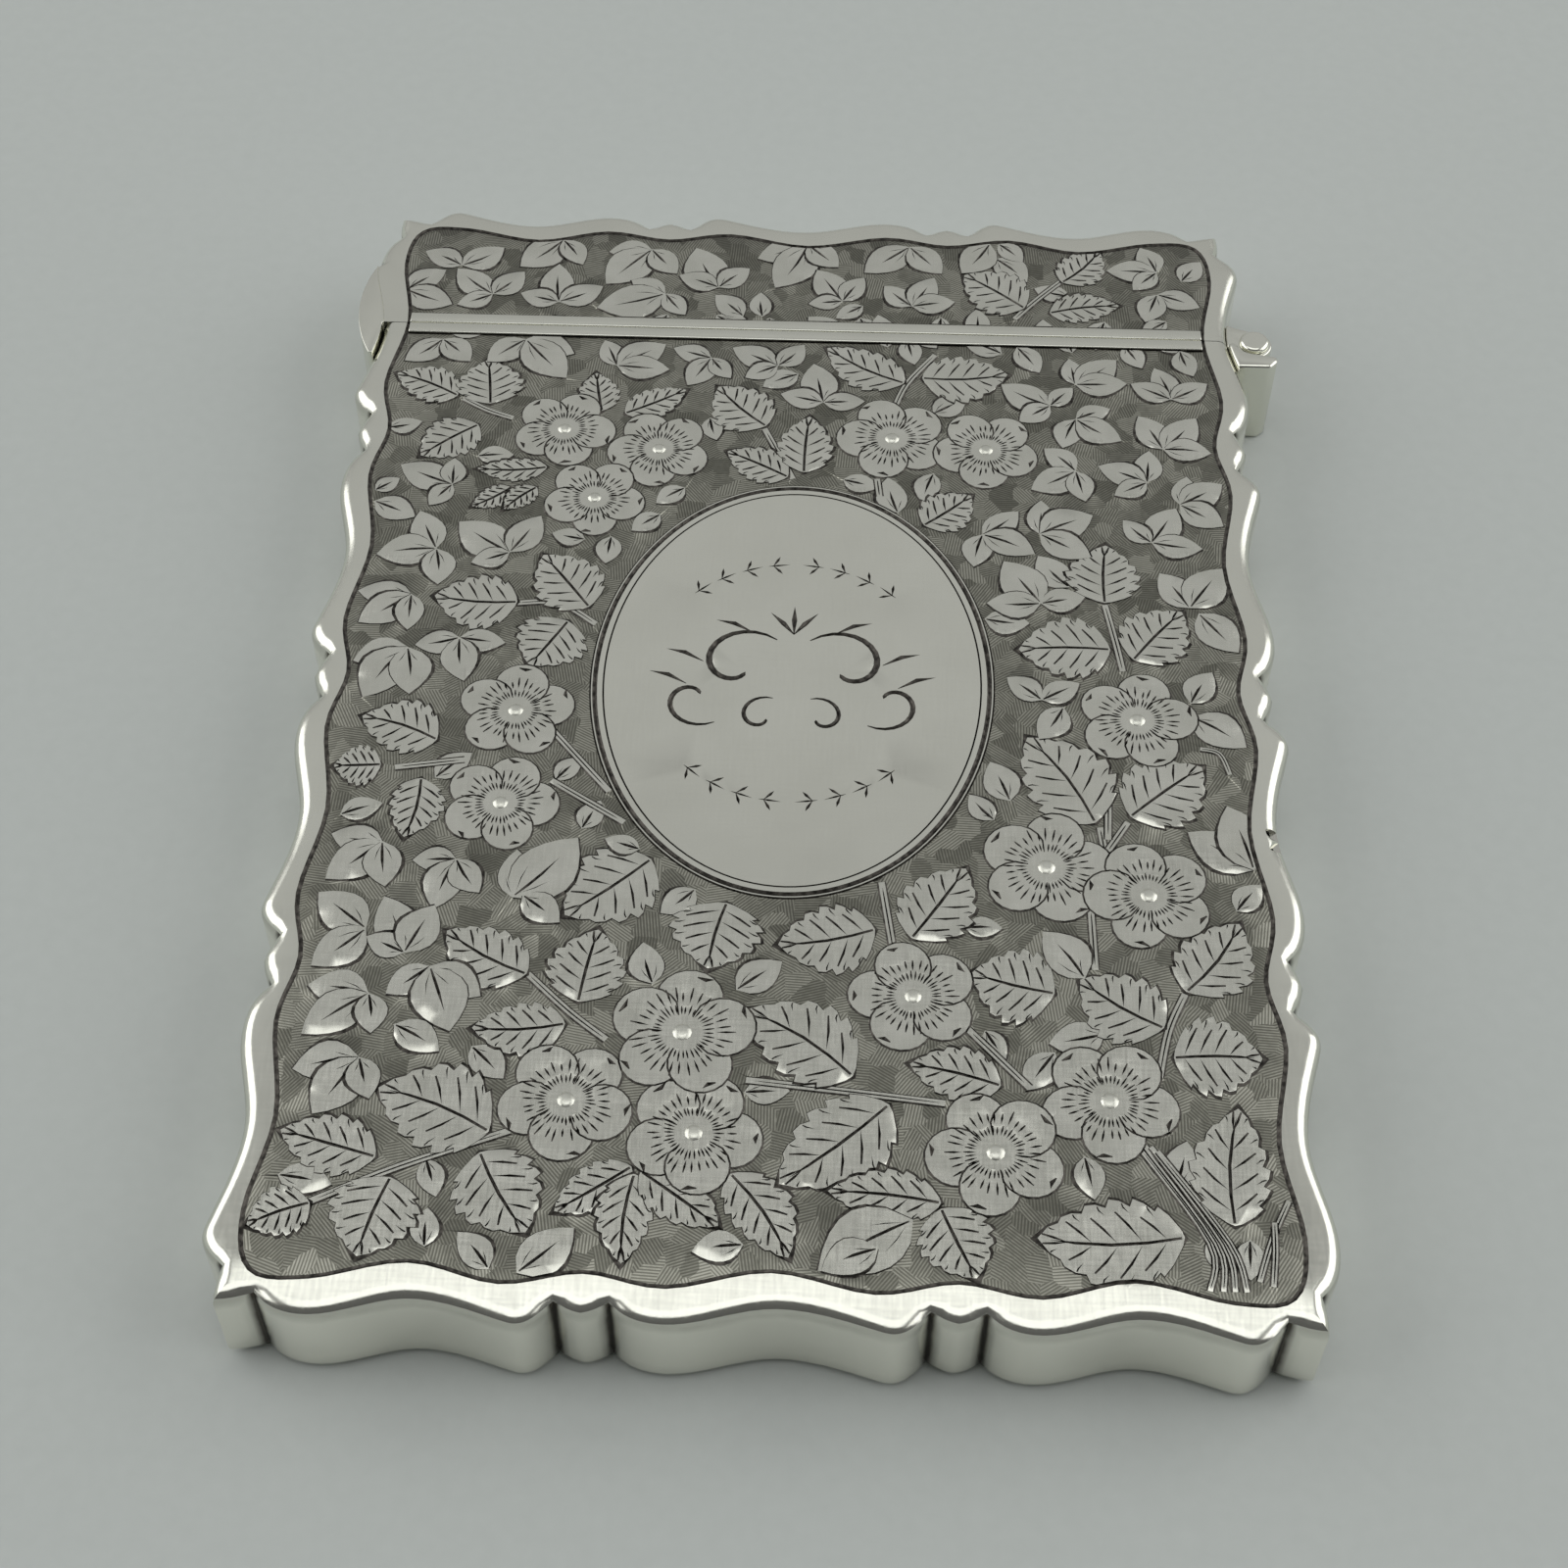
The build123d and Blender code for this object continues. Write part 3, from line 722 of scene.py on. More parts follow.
SHOULDER = 0.95  # width of the rounded edge of the case
SHOULDER_DEPTH = 1.05  # down from the face, through the plate and into the side strip
SHOULDER_STEPS = 7
MOUTH_LINE = 0.16  # dark line where the engraving meets the mouth strip
FRAME_SHAPES = 3  # the two halves of the border line, and the line along the mouth strip


def shoulder_inset(depth):
    """How far inside the outline the rounded edge is at a depth below the face."""
    return SHOULDER * (1 - math.sin(math.acos(max(1 - depth / SHOULDER_DEPTH, 0.0))))


def top_outline(node, high):
    """The outline of a CAD plate in millimetres, counterclockwise seen from above, from its flat face."""
    mesh = NODES[node].data
    low_corner, high_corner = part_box(node)
    level = high_corner.z if high else low_corner.z
    places = {}
    edges = set()
    for polygon in mesh.polygons:
        corners = [mesh.vertices[i].co for i in polygon.vertices]
        if all(abs(c.z - level) < TINY for c in corners):
            keys = [(round(c.x / MM, 3), round(c.y / MM, 3)) for c in corners]
            places.update(zip(keys, ((c.x / MM, c.y / MM) for c in corners)))
            edges.update(zip(keys, keys[1:] + keys[:1]))
    directed = {a: b for a, b in edges if (b, a) not in edges}
    start = min(directed)
    loop = [start]
    while directed[loop[-1]] != start:
        loop.append(directed[loop[-1]])
    points = [Vector(places[k]) for k in loop]
    return points if signed_area(points) > 0 else points[::-1]


def inset_directions(points, square):
    """For each point of an outline, how far it moves for each millimetre of inset. Square stretches stay."""
    moves = []
    for i, p in enumerate(points):
        before_square = square((points[i - 1] + p) / 2)
        after_square = square((points[(i + 1) % len(points)] + p) / 2)
        before, after = sides_at(points, i)
        if before_square and after_square:
            moves.append(Vector((0, 0)))
        elif before_square or after_square:
            slide, normal = (before, left(after)) if before_square else (after, left(before))
            turn = slide.dot(normal)
            moves.append(slide / turn if abs(turn) > 0.5 else Vector((0, 0)))
        else:
            middle = left(before + after)
            outwards = before.cross(after) > 0
            moves.append(middle * (2 / max(middle.length_squared, 0.8)) if outwards else middle / 2)
    return moves


POINT_TURN = math.radians(25)  # a corner of the outline that turns outwards more than this is a point
SWALLOW_EARLY = 1.3  # a point takes in a neighbour this much before straight sides would need it


class Outline:
    """The outline of a plate, and where its points go as it is inset."""

    def __init__(self, points, square):
        self.points = points
        self.moves = inset_directions(points, square)
        self.swallowed = {}
        count = len(points)
        for i, p in enumerate(points):
            before, after = sides_at(points, i)
            turn = math.asin(max(-1.0, min(1.0, before.cross(after))))
            if turn < POINT_TURN or square(p):
                continue
            for way in (1, -1):
                k, gone = i + way, 0.0
                while True:
                    gone += (points[k % count] - points[(k - way) % count]).length
                    limit = gone / math.tan(turn / 2) / SWALLOW_EARLY
                    if limit > SHOULDER or square(points[k % count]):
                        break
                    self.swallowed[k % count] = (limit, i)
                    k += way

    def inset(self, i, distance):
        """Where point i is when the outline is inset by a distance. A point takes in its neighbours."""
        limit, corner = self.swallowed.get(i, (math.inf, i))
        i = corner if distance > limit else i
        return self.points[i] + self.moves[i] * distance


CREASE = math.radians(28)  # edges of the engraved plates and side strips that turn more than this are sharp
ROUNDED_CREASE = math.radians(40)  # and those of the pieces with rounded edges


def add_piece(name, mesh, body, node, crease):
    """Puts a mesh in the scene as a visible piece on a body, in place of a CAD node."""
    mesh.polygons.foreach_set("use_smooth", [True] * len(mesh.polygons))
    mesh.update()
    mesh.set_sharp_from_angle(angle=crease)
    piece = bpy.data.objects.new(name, mesh)
    bpy.context.scene.collection.objects.link(piece)
    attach(piece, body)
    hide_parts(node)


BEND_Y = -46.0  # below this the rim bends down a little, towards the bottom edge
BEND_SLOPE = 0.075


def droop(point):
    """How far the face of a plate lies below its flat at a point."""
    return max(BEND_Y - point.y, 0.0) * BEND_SLOPE


def plate_art(flat, body, face, ornament):
    """All that is engraved on a plate, the line along its mouth, and last the flat that they lie on."""
    art, border = engraved_field(ornament)
    art.ring(border, BORDER_WIDTH)
    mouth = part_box(f"{body}_mouth_strip_{face}")
    edge_y = (mouth[0].y if body == "body" else mouth[1].y) / MM
    reach = mouth[1].x / MM
    line_y = edge_y + (-MOUTH_LINE if body == "body" else MOUTH_LINE)
    corners = ((-reach, edge_y), (-reach, line_y), (reach, line_y), (reach, edge_y))
    art.shape("cut", [Vector(p) for p in corners])
    art.shape("rim", flat)
    return art


def kinds_shown(art, points, triangles):
    """What each triangle of a plate shows: all of the art in the field, only the lines round it outside."""
    centres = np.array([p[:] for p in points])[np.array(triangles)].mean(axis=1)
    flat_shape = len(art.shapes) - 1
    in_field = art.topmost(centres, [0]) >= 0
    top = art.topmost(centres, range(flat_shape))
    frame_top = art.topmost(centres, range(flat_shape - FRAME_SHAPES, flat_shape))
    shown = np.where(in_field, top, frame_top)
    return [art.kinds[number] if number >= 0 else "rim" for number in shown]


def plate(name, node, body, face, ornament, materials, square):
    """One engraved plate: relief on its outer face, a rounded shoulder, and a plain inside."""
    low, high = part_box(node)
    up = 1 if face == "front" else -1
    outside = (high.z if up > 0 else low.z) / MM
    thickness = (high.z - low.z) / MM
    outline = Outline(top_outline(node, up > 0), square)
    flat = [outline.inset(i, SHOULDER) for i in range(len(outline.points))]
    art = plate_art(flat, body, face, ornament)
    points, kept, stations = art.inside_last()
    kinds = kinds_shown(art, points, kept)

    # the relief
    levels = {}
    highest = LEVELS["boss_top"] if up > 0 else 0.0  # the back lies flat on the table
    for corners, kind in zip(kept, kinds):
        level = min(LEVELS.get(kind, CUT_BOTTOM), highest)
        for c in corners:
            levels[c] = max(levels.get(c, CUT_BOTTOM), level)

    vertices = []

    def vertex(x, y, depth):
        vertices.append((x * MM, y * MM, (outside + up * depth) * MM))
        return len(vertices) - 1

    index = {c: vertex(*points[c], level - droop(points[c])) for c, level in levels.items()}
    faces = [tuple(index[c] for c in corners) for corners in kept]
    finishes = [FINISHES.index("boss" if kind.startswith("boss") else kind) for kind in kinds]

    # walls, from the border of the flat outwards and down
    rings = [[index[c] for c, _ in stations]]
    last_angle = math.acos(1 - thickness / SHOULDER_DEPTH)
    for step in range(1, SHOULDER_STEPS + 1):
        depth = SHOULDER_DEPTH * (1 - math.cos(last_angle * step / SHOULDER_STEPS))
        inset = shoulder_inset(depth)
        share = depth / thickness
        ring = []
        for c, i in stations:
            p = points[c] if i is None else outline.inset(i, inset)
            top = droop(points[c])
            ring.append(vertex(p.x, p.y, -(top + (thickness - top) * share)))
        rings.append(ring)
    for upper, lower in zip(rings, rings[1:]):
        for k in range(len(stations)):
            n = (k + 1) % len(stations)
            across = () if upper[k] == upper[n] else (upper[n],)
            faces.append((upper[k], lower[k], lower[n], *across))
    bottom = [Vector(vertices[i][:2]) / MM for i in rings[-1]]
    _, _, under, under_from, _, _ = delaunay_2d_cdt(bottom, [], [list(range(len(bottom)))], 1, 1e-5)
    for f in under:
        faces.append(tuple(rings[-1][under_from[c][0]] for c in reversed(f)))
    finishes += [FINISHES.index("rim")] * (len(faces) - len(finishes))
    if up < 0:
        faces = [tuple(reversed(f)) for f in faces]

    mesh = bpy.data.meshes.new(name)
    mesh.from_pydata(vertices, [], faces)
    for key in FINISHES:
        mesh.materials.append(materials[key])
    mesh.polygons.foreach_set("material_index", finishes)
    add_piece(name, mesh, body, node, CREASE)


# ---------------------------------------------------------------- materials


class Shader:
    """The nodes of a material or of the world, and short ways to add to them."""

    def __init__(self, owner, surface, place):
        owner.use_nodes = True
        self.tree = owner.node_tree
        self.surface = self.tree.nodes[surface]
        self.place = self.add("ShaderNodeTexCoord").outputs[place]

    def add(self, kind, settings=None, **inputs):
        """A node with its settings, and inputs given by name as values or as sockets."""
        node = self.tree.nodes.new(kind)
        for key, value in (settings or {}).items():
            setattr(node, key, value)
        for key, value in inputs.items():
            socket = node.inputs[int(key[1:])] if key[0] == "i" and key[1:].isdigit() else node.inputs[key]
            self.put(socket, value)
        return node

    def put(self, socket, value):
        """Links a socket to an input, or sets the input's value."""
        if isinstance(value, bpy.types.NodeSocket):
            self.tree.links.new(value, socket)
        else:
            socket.default_value = value

    def math(self, operation, a, b=0.0, c=0.0):
        node = self.add("ShaderNodeMath", {"operation": operation}, i0=a, i1=b, i2=c)
        return node.outputs[0]

    def scaled(self, per_metre):
        """The place on the object, times a scale in repeats per metre, which may differ along X, Y and Z."""
        node = self.add("ShaderNodeVectorMath", {"operation": "MULTIPLY"}, i0=self.place, i1=per_metre)
        return node.outputs[0]

    def noise(self, per_metre, detail=3.0, vector=None):
        node = self.add("ShaderNodeTexNoise", Vector=vector or self.place, Scale=per_metre, Detail=detail)
        return node.outputs["Fac"]

    def ramp(self, fac, stops):
        """A colour ramp: stops are (place, value or colour)."""
        node = self.add("ShaderNodeValToRGB", Fac=fac)
        ramp = node.color_ramp
        while len(ramp.elements) < len(stops):
            ramp.elements.new(0.5)
        for element, (place, colour) in zip(ramp.elements, stops):
            element.position = place
            grey = isinstance(colour, (int, float))
            element.color = (colour, colour, colour, 1) if grey else (*colour, 1)
        return node.outputs["Color"]

    def mix(self, fac, a, b, blend="MIX"):
        node = self.add("ShaderNodeMix", {"data_type": "RGBA", "blend_type": blend}, i0=fac, i6=a, i7=b)
        return node.outputs[2]

    def bump(self, height, strength, distance, normal=None):
        inputs = {"Height": height, "Strength": strength, "Distance": distance}
        if normal is not None:
            inputs["Normal"] = normal
        return self.add("ShaderNodeBump", **inputs).outputs["Normal"]

    def finish(self, **inputs):
        """Sets the surface's inputs, with spaces in their names written as underscores."""
        for key, value in inputs.items():
            self.put(self.surface.inputs[key.replace("_", " ")], value)


class Material(Shader):
    """A material, with its nodes placed on the object."""

    def __init__(self, name):
        self.material = bpy.data.materials.new(name)
        super().__init__(self.material, "Principled BSDF", "Object")

    def finish(self, **inputs):
        super().finish(**inputs)
        return self.material


SILVER_LIGHT = (0.86, 0.86, 0.77)
SILVER_DARK = (0.665, 0.665, 0.58)
SCRATCH_DEPTH = 0.00002


def scratches(shader, per_metre):
    """Fine hairline scratches in three directions."""
    total = None
    for stretch in ((1.0, 0.06, 1.0), (0.06, 1.0, 1.0), (0.7, 0.12, 0.4)):
        turn = shader.add("ShaderNodeMapping", {"vector_type": "POINT"}, Vector=shader.place)
        turn.inputs["Rotation"].default_value = (0, 0, stretch[0] * 2.1)
        turn.inputs["Scale"].default_value = stretch
        line = shader.noise(per_metre * 6, 2.0, turn.outputs[0])
        total = line if total is None else shader.math("ADD", total, line)
    return shader.math("DIVIDE", total, 3.0)


def worn(shader, colour, rough, waves, per_metre=900.0, bite=0.12):
    """Finishes silver with fine scratches and faint waves. Rough is its range, waves are the repeats per
    metre, the strength and the height."""
    lines = scratches(shader, per_metre)
    spread = shader.ramp(lines, [(0.35, rough[0]), (0.65, rough[1])])
    normal = shader.bump(lines, bite, SCRATCH_DEPTH)
    normal = shader.bump(shader.noise(waves[0], 1.0), waves[1], waves[2], normal)
    return shader.finish(Base_Color=colour, Metallic=1.0, Roughness=spread, Normal=normal)


def polished(name, rough=0.16, tint=1.0, tarnish=0.3):
    """Polished silver, worn and finely scratched, a little duller in patches."""
    shader = Material(name)
    patches = shader.noise(160.0, 4.0)
    light = tuple(c * tint for c in SILVER_LIGHT)
    dark = tuple(c * tint for c in SILVER_DARK)
    share = shader.math("MULTIPLY", patches, tarnish * 2)
    colour = shader.mix(share, (*light, 1), (*dark, 1))
    return worn(shader, colour, (rough * 0.75, rough * 1.5), (220.0, 0.18, 0.0002))


HATCH_PITCH = 0.0002
HATCH_PATCH = 620.0  # patches per metre
HATCH_WARP = 0.0007
HATCH_DEPTH = 0.00003
# oxidised ground colours, darkest in the painted shade of the hatching's grooves and lightest in the patches
# painted as reflecting the light
GROUND_TONES = [(0.0, (0.045, 0.045, 0.037)), (0.5, (0.185, 0.183, 0.152)), (1.0, (0.42, 0.415, 0.355))]


def hatched(name):
    """The cut-away ground: small patches of fine parallel hatching, each in its own direction, oxidised;
    each patch's brightness is painted reflection and the hatching's grooves carry painted shade.
    """
    shader = Material(name)
    warp = shader.add("ShaderNodeTexNoise", Vector=shader.place, Scale=700.0, Detail=1.0).outputs["Color"]
    add_scaled = {"operation": "MULTIPLY_ADD"}
    reach = (HATCH_WARP, HATCH_WARP, 0)
    bent = shader.add("ShaderNodeVectorMath", add_scaled, i0=warp, i1=reach, i2=shader.place)
    cells = shader.add(
        "ShaderNodeTexVoronoi", {"feature": "F1", "voronoi_dimensions": "2D", "distance": "CHEBYCHEV"},
        Vector=bent.outputs[0], Scale=HATCH_PATCH,
    )
    split = shader.add("ShaderNodeSeparateColor", Color=cells.outputs["Color"])
    angle = shader.math("MULTIPLY", split.outputs["Red"], math.tau)
    axes = shader.add("ShaderNodeSeparateXYZ", Vector=shader.place)
    along = shader.math("MULTIPLY", axes.outputs["X"], shader.math("COSINE", angle))
    across = shader.math("MULTIPLY", axes.outputs["Y"], shader.math("SINE", angle))
    turns = shader.math("MULTIPLY", shader.math("ADD", along, across), math.tau / HATCH_PITCH)
    wave = shader.math("MULTIPLY_ADD", shader.math("SINE", turns), 0.5, 0.5)
    uneven = shader.noise(2500.0, 2.0)
    depth = shader.math("MULTIPLY", wave, shader.math("ADD", uneven, 0.4))
    # painted reflection: each patch made lighter or darker as if its hatching caught the light its own way;
    # painted shade darkens the hatching's grooves
    patch_reflection = shader.math("MULTIPLY_ADD", split.outputs["Green"], 0.5, 0.5)
    tone = shader.math("MULTIPLY", patch_reflection, shader.math("MULTIPLY_ADD", depth, 0.7, 0.5))
    colour = shader.ramp(tone, GROUND_TONES)
    normal = shader.bump(depth, 0.22, HATCH_DEPTH)
    return shader.finish(Base_Color=colour, Metallic=1.0, Roughness=0.4, Normal=normal)


def leaf_silver(name):
    """The faces of leaves and petals: bright silver, duller in patches, with fine scratches."""
    shader = Material(name)
    patches = shader.noise(420.0, 3.0)
    colour = shader.mix(patches, (0.845, 0.84, 0.76, 1), (0.6, 0.6, 0.525, 1))
    return worn(shader, colour, (0.18, 0.32), (500.0, 0.15, 0.0001), 1400.0, 0.02)


def dark_cut(name):
    """The sides of the cuts, black with old polish."""
    shader = Material(name)
    patches = shader.noise(2500.0, 3.0)
    colour = shader.ramp(patches, [(0.35, (0.016, 0.014, 0.011)), (0.75, (0.12, 0.11, 0.095))])
    return shader.finish(Base_Color=colour, Metallic=0.7, Roughness=0.42)


def satin(name, colour, rough):
    """Satin metal inside the case, brushed lengthwise."""
    shader = Material(name)
    brushed = shader.noise(1.0, 3.0, shader.scaled((300.0, 6000.0, 300.0)))
    tone = shader.mix(brushed, (*colour, 1), (*(c * 0.7 for c in colour), 1))
    spread = shader.ramp(brushed, [(0.3, rough * 0.8), (0.7, rough * 1.3)])
    normal = shader.bump(brushed, 0.2, SCRATCH_DEPTH)
    return shader.finish(Base_Color=tone, Metallic=1.0, Roughness=spread, Normal=normal)


WALL_TOP = 0.0078
WALL_UNEVEN = 0.0009  # how far the patches shift the painted shade up or down
WALL_SHADE_BANDS = [(0.0, 0.75), (0.13, 0.2), (0.3, 0.05), (0.85, 0.05), (0.97, 0.35)]  # painted shade from the table up: darkest at the foot of the wall, and a darker band under its top edge


def fluted(name):
    """The side walls: polished silver, with painted shade along the lower and upper edges and in the flutes.
    """
    shader = Material(name)
    axes = shader.add("ShaderNodeSeparateXYZ", Vector=shader.place)
    patches = shader.noise(500.0, 4.0)
    # painted shade: bands by height along the wall, and blotchy shade in the flutes from the mesh's
    # attribute
    height = shader.math("MULTIPLY_ADD", patches, WALL_UNEVEN, axes.outputs["Z"])
    painted_shade = shader.ramp(shader.math("DIVIDE", height, WALL_TOP), WALL_SHADE_BANDS)
    flutes = shader.add("ShaderNodeAttribute", {"attribute_name": "painted_shade"}).outputs["Fac"]
    flute_shade = shader.math("MULTIPLY", flutes, shader.math("MULTIPLY_ADD", patches, 0.9, 0.7))
    wall_shade = shader.math("MAXIMUM", flute_shade, painted_shade)
    # the light colour is the rim's silver made brighter, painted light for walls that face the shaded table;
    # the dark colour is the painted shade
    colour = shader.mix(wall_shade, (0.97, 0.96, 0.87, 1), (0.07, 0.062, 0.05, 1))
    return worn(shader, colour, (0.12, 0.26), (260.0, 0.25, 0.0002))


def floor_paper(name):
    """Plain pale paper."""
    shader = Material(name)
    grain = shader.noise(900.0, 4.0)
    colour = shader.mix(grain, (0.53, 0.56, 0.535, 1), (0.49, 0.52, 0.495, 1))
    return shader.finish(Base_Color=colour, Roughness=0.9, Normal=shader.bump(grain, 0.05, 0.0001))


rim_silver = polished("rim_silver")
PLATE_MATERIALS = {
    "rim": rim_silver,
    "leaf": leaf_silver("leaf_silver"),
    "ground": hatched("hatched_ground"),
    "cut": dark_cut("dark_cut"),
    "boss": polished("boss_silver", 0.3, 0.9, 0.2),
}

# ---------------------------------------------------------------- pieces

BODY_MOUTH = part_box("body_mouth_strip_front")
LID_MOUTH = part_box("lid_mouth_strip_front")
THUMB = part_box("lid_thumb_piece")
# In millimetres: the two sides of the seam, the band of the plates where the mouth strips lie, and its end
SEAM_EDGES = (BODY_MOUTH[1].y / MM, LID_MOUTH[0].y / MM)
SEAM_BAND = (BODY_MOUTH[0].y / MM - 0.01, LID_MOUTH[1].y / MM + 0.01)
NOTCH_X = BODY_MOUTH[1].x / MM + 0.01
ON_SEAM = 0.002  # a point this near to a side of the seam is on it


def body_square(p):
    """Whether a point is on the body's straight mouth edge."""
    return p.y > SEAM_EDGES[0] - 0.001 or (p.y > SEAM_BAND[0] and abs(p.x) < NOTCH_X)


def lid_square(p):
    """Whether a point is on the lid's straight mouth edge, or where the thumb piece joins it."""
    at_thumb = p.x < THUMB[1].x / MM and p.y < THUMB[1].y / MM
    return at_thumb or p.y < SEAM_EDGES[1] + 0.001 or (p.y < SEAM_BAND[1] and abs(p.x) < NOTCH_X)


HALVES = (("body", body_square), ("lid", lid_square))
for half, square in HALVES:
    for face in (("front", "back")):
        name, node = f"{half}_{face}_engraving", f"{half}_{face}_plate"
        plate(name, node, half, face, face == "front", PLATE_MATERIALS, square)


WALL = 0.6  # thickness of the side strips
FLUTE_TURN = math.radians(50)  # the outline turns more than this at the bottom of a flute
FLUTE_SHADE_REACH = 0.45  # reach of the painted shade out of a flute
FLUTE_NEAR = 0.12  # how near to the bottom of a flute the extra points are
WALL_ROUND = (0.0, 0.07, 0.15, 0.25, 0.37, 0.55)  # rings of the rounded edge, from an end of the strip
WALL_RINGS = 5


def seam_to_seam(half):
    """The outline of one half from one end of its seam, round its outside, to the other end."""
    outline = top_outline(f"{half}_front_plate", True)
    seam = SEAM_EDGES[0] if half == "body" else SEAM_EDGES[1]

    def ends(line):
        return [i for i, p in enumerate(line) if abs(p.y - seam) < ON_SEAM and abs(p.x) > NOTCH_X]

    first = max(ends(outline), key=lambda i: -outline[i].x if half == "body" else outline[i].x)
    line = outline[first:] + outline[:first]
    return line[: max(ends(line)) + 1]


def flute_bottoms(line):
    """The numbers of the points of a line that are at the bottom of a flute."""
    flutes = []
    for i in range(1, len(line) - 1):
        before, after = sides_at(line, i)
        if before.cross(after) < -math.sin(FLUTE_TURN):
            flutes.append(i)
    return flutes


def denser(line, flutes):
    """A line with more points close to the bottoms of its flutes."""
    dense = []
    for i, p in enumerate(line):
        for near in (i - 1, i + 1):
            if i in flutes:
                step = unit(line[near] - p)
                extra = [p + step * min(FLUTE_NEAR, (line[near] - p).length / 2)]
                dense += extra if near < i else [p] + extra
        if i not in flutes:
            dense.append(p)
    return dense


def side_wall(name, half, material, square):
    """The side strip of one half along the outline from seam to seam, with painted shade marked in its
    flutes.
    """
    node = f"{half}_side_strip"
    low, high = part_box(node)
    line = seam_to_seam(half)
    flutes = flute_bottoms(line)
    dense = denser(line, flutes)
    corners = [line[i] for i in flutes]
    moves = inset_directions(dense, lambda p: False)
    for end in (0, -1):
        moves[end] = Vector((1 if dense[end].x < 0 else -1, 0))
    inner = [p + m * WALL for p, m in zip(dense, moves)]
    edge = Outline(dense, square)
    plate_sheet = low.z / MM
    height = (high.z - low.z) / MM
    straight = height - 2 * WALL_ROUND[-1]
    depths = list(WALL_ROUND)
    depths += [WALL_ROUND[-1] + straight * k / WALL_RINGS for k in range(1, WALL_RINGS)]
    depths += [height - depth for depth in reversed(WALL_ROUND)]
    vertices, faces, sheets = [], [], []
    for is_outer in (True, False):
        sheet = []
        for depth in depths:
            inset = shoulder_inset(plate_sheet + min(depth, height - depth))
            points = [edge.inset(i, inset) for i in range(len(dense))] if is_outer else inner
            sheet.append(range(len(vertices), len(vertices) + len(points)))
            vertices += [(p.x * MM, p.y * MM, low.z + depth * MM) for p in points]
        sheets.append(sheet)
    outside, inside = sheets
    around = outside + inside[::-1]  # the rows of points round a section of the strip
    for k in range(len(dense) - 1):
        for a, b in zip(around, around[1:] + around[:1]):
            faces.append((a[k], a[k + 1], b[k + 1], b[k]))
    for k, flip in ((0, False), (len(dense) - 1, True)):
        for a, b, c, d in zip(outside, outside[1:], inside, inside[1:]):
            face = (a[k], b[k], d[k], c[k])
            faces.append(face[::-1] if flip else face)
    mesh = bpy.data.meshes.new(name)
    mesh.from_pydata(vertices, [], faces)
    mesh.materials.append(material)
    # painted shade in the flutes, fading away from the bottom of each flute
    painted_shade = mesh.attributes.new("painted_shade", "FLOAT", "POINT")
    for vertex, value in zip(vertices, painted_shade.data):
        place = Vector(vertex[:2]) / MM
        value.value = math.exp(-((min((place - c).length for c in corners) / FLUTE_SHADE_REACH) ** 2))
    add_piece(name, mesh, half, node, CREASE)


def only_material(mesh, material):
    """Gives a mesh one material."""
    mesh.materials.clear()
    mesh.materials.append(material)


FLAT_TURN = math.radians(1)  # faces that meet at less than this are joined
BEVEL_TURN = math.radians(35)  # edges sharper than this are rounded


def softened(node, name, body, material, bevel, stretch=1.0):
    """A piece like a CAD node with its sharp edges rounded. Stretch makes it thicker about its middle."""
    low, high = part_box(node)
    middle = (low.z + high.z) / 2
    mesh = bmesh.new()
    mesh.from_mesh(NODES[node].data)
    for v in mesh.verts:
        v.co.z = middle + (v.co.z - middle) * stretch
    bmesh.ops.remove_doubles(mesh, verts=mesh.verts, dist=TINY)
    bmesh.ops.dissolve_limit(mesh, angle_limit=FLAT_TURN, verts=mesh.verts, edges=mesh.edges)
    sharp = [e for e in mesh.edges if len(e.link_faces) == 2 and e.calc_face_angle() > BEVEL_TURN]
    bmesh.ops.bevel(
        mesh, geom=sharp, offset=bevel * MM, segments=3, profile=0.5, affect="EDGES", clamp_overlap=True
    )
    data = bpy.data.meshes.new(name)
    mesh.to_mesh(data)
    mesh.free()
    only_material(data, material)
    add_piece(name, data, body, node, ROUNDED_CREASE)


side_silver = fluted("side_silver")
SLOT_MATERIALS = {
    "silver": rim_silver,
    "engraved_silver": rim_silver,
    "fluted_silver": side_silver,
    "inner_silver": satin("inner_silver", (0.76, 0.75, 0.71), 0.3),
    "pin_silver": polished("pin_silver", 0.14, 1.0, 0.2),
    "spring_steel": satin("spring_steel", (0.42, 0.42, 0.42), 0.25),
}
for part in frame["record"]["subparts"]:
    only_material(NODES[part["node"]].data, SLOT_MATERIALS[part["material_slot"]])

BEAD_BEVEL = 0.09
KNUCKLE_BEVEL = 0.12
LUG_BEVEL = 0.22
LUG_STRETCH = 1.085  # brings the lug level with the faces of the case
THUMB_BEVEL = 0.3

for half, square in HALVES:
    side_wall(f"{half}_side_wall", half, side_silver, square)
    for face in ("front", "back"):
        softened(f"{half}_mouth_strip_{face}", f"{half}_mouth_bead_{face}", half, rim_silver, BEAD_BEVEL)
for face in ("front", "back"):
    softened(f"lid_knuckle_{face}", f"lid_hinge_knuckle_{face}", "lid", rim_silver, KNUCKLE_BEVEL)
softened("hinge_lug", "hinge_lug_rounded", "body", rim_silver, LUG_BEVEL, LUG_STRETCH)
softened("lid_thumb_piece", "thumb_piece_rounded", "lid", rim_silver, THUMB_BEVEL)


# ---------------------------------------------------------------- floor, light and camera

FLOOR_SIZE = 3.0
FLOOR_DROP = 0.00002  # keeps the floor clear of the back of the case


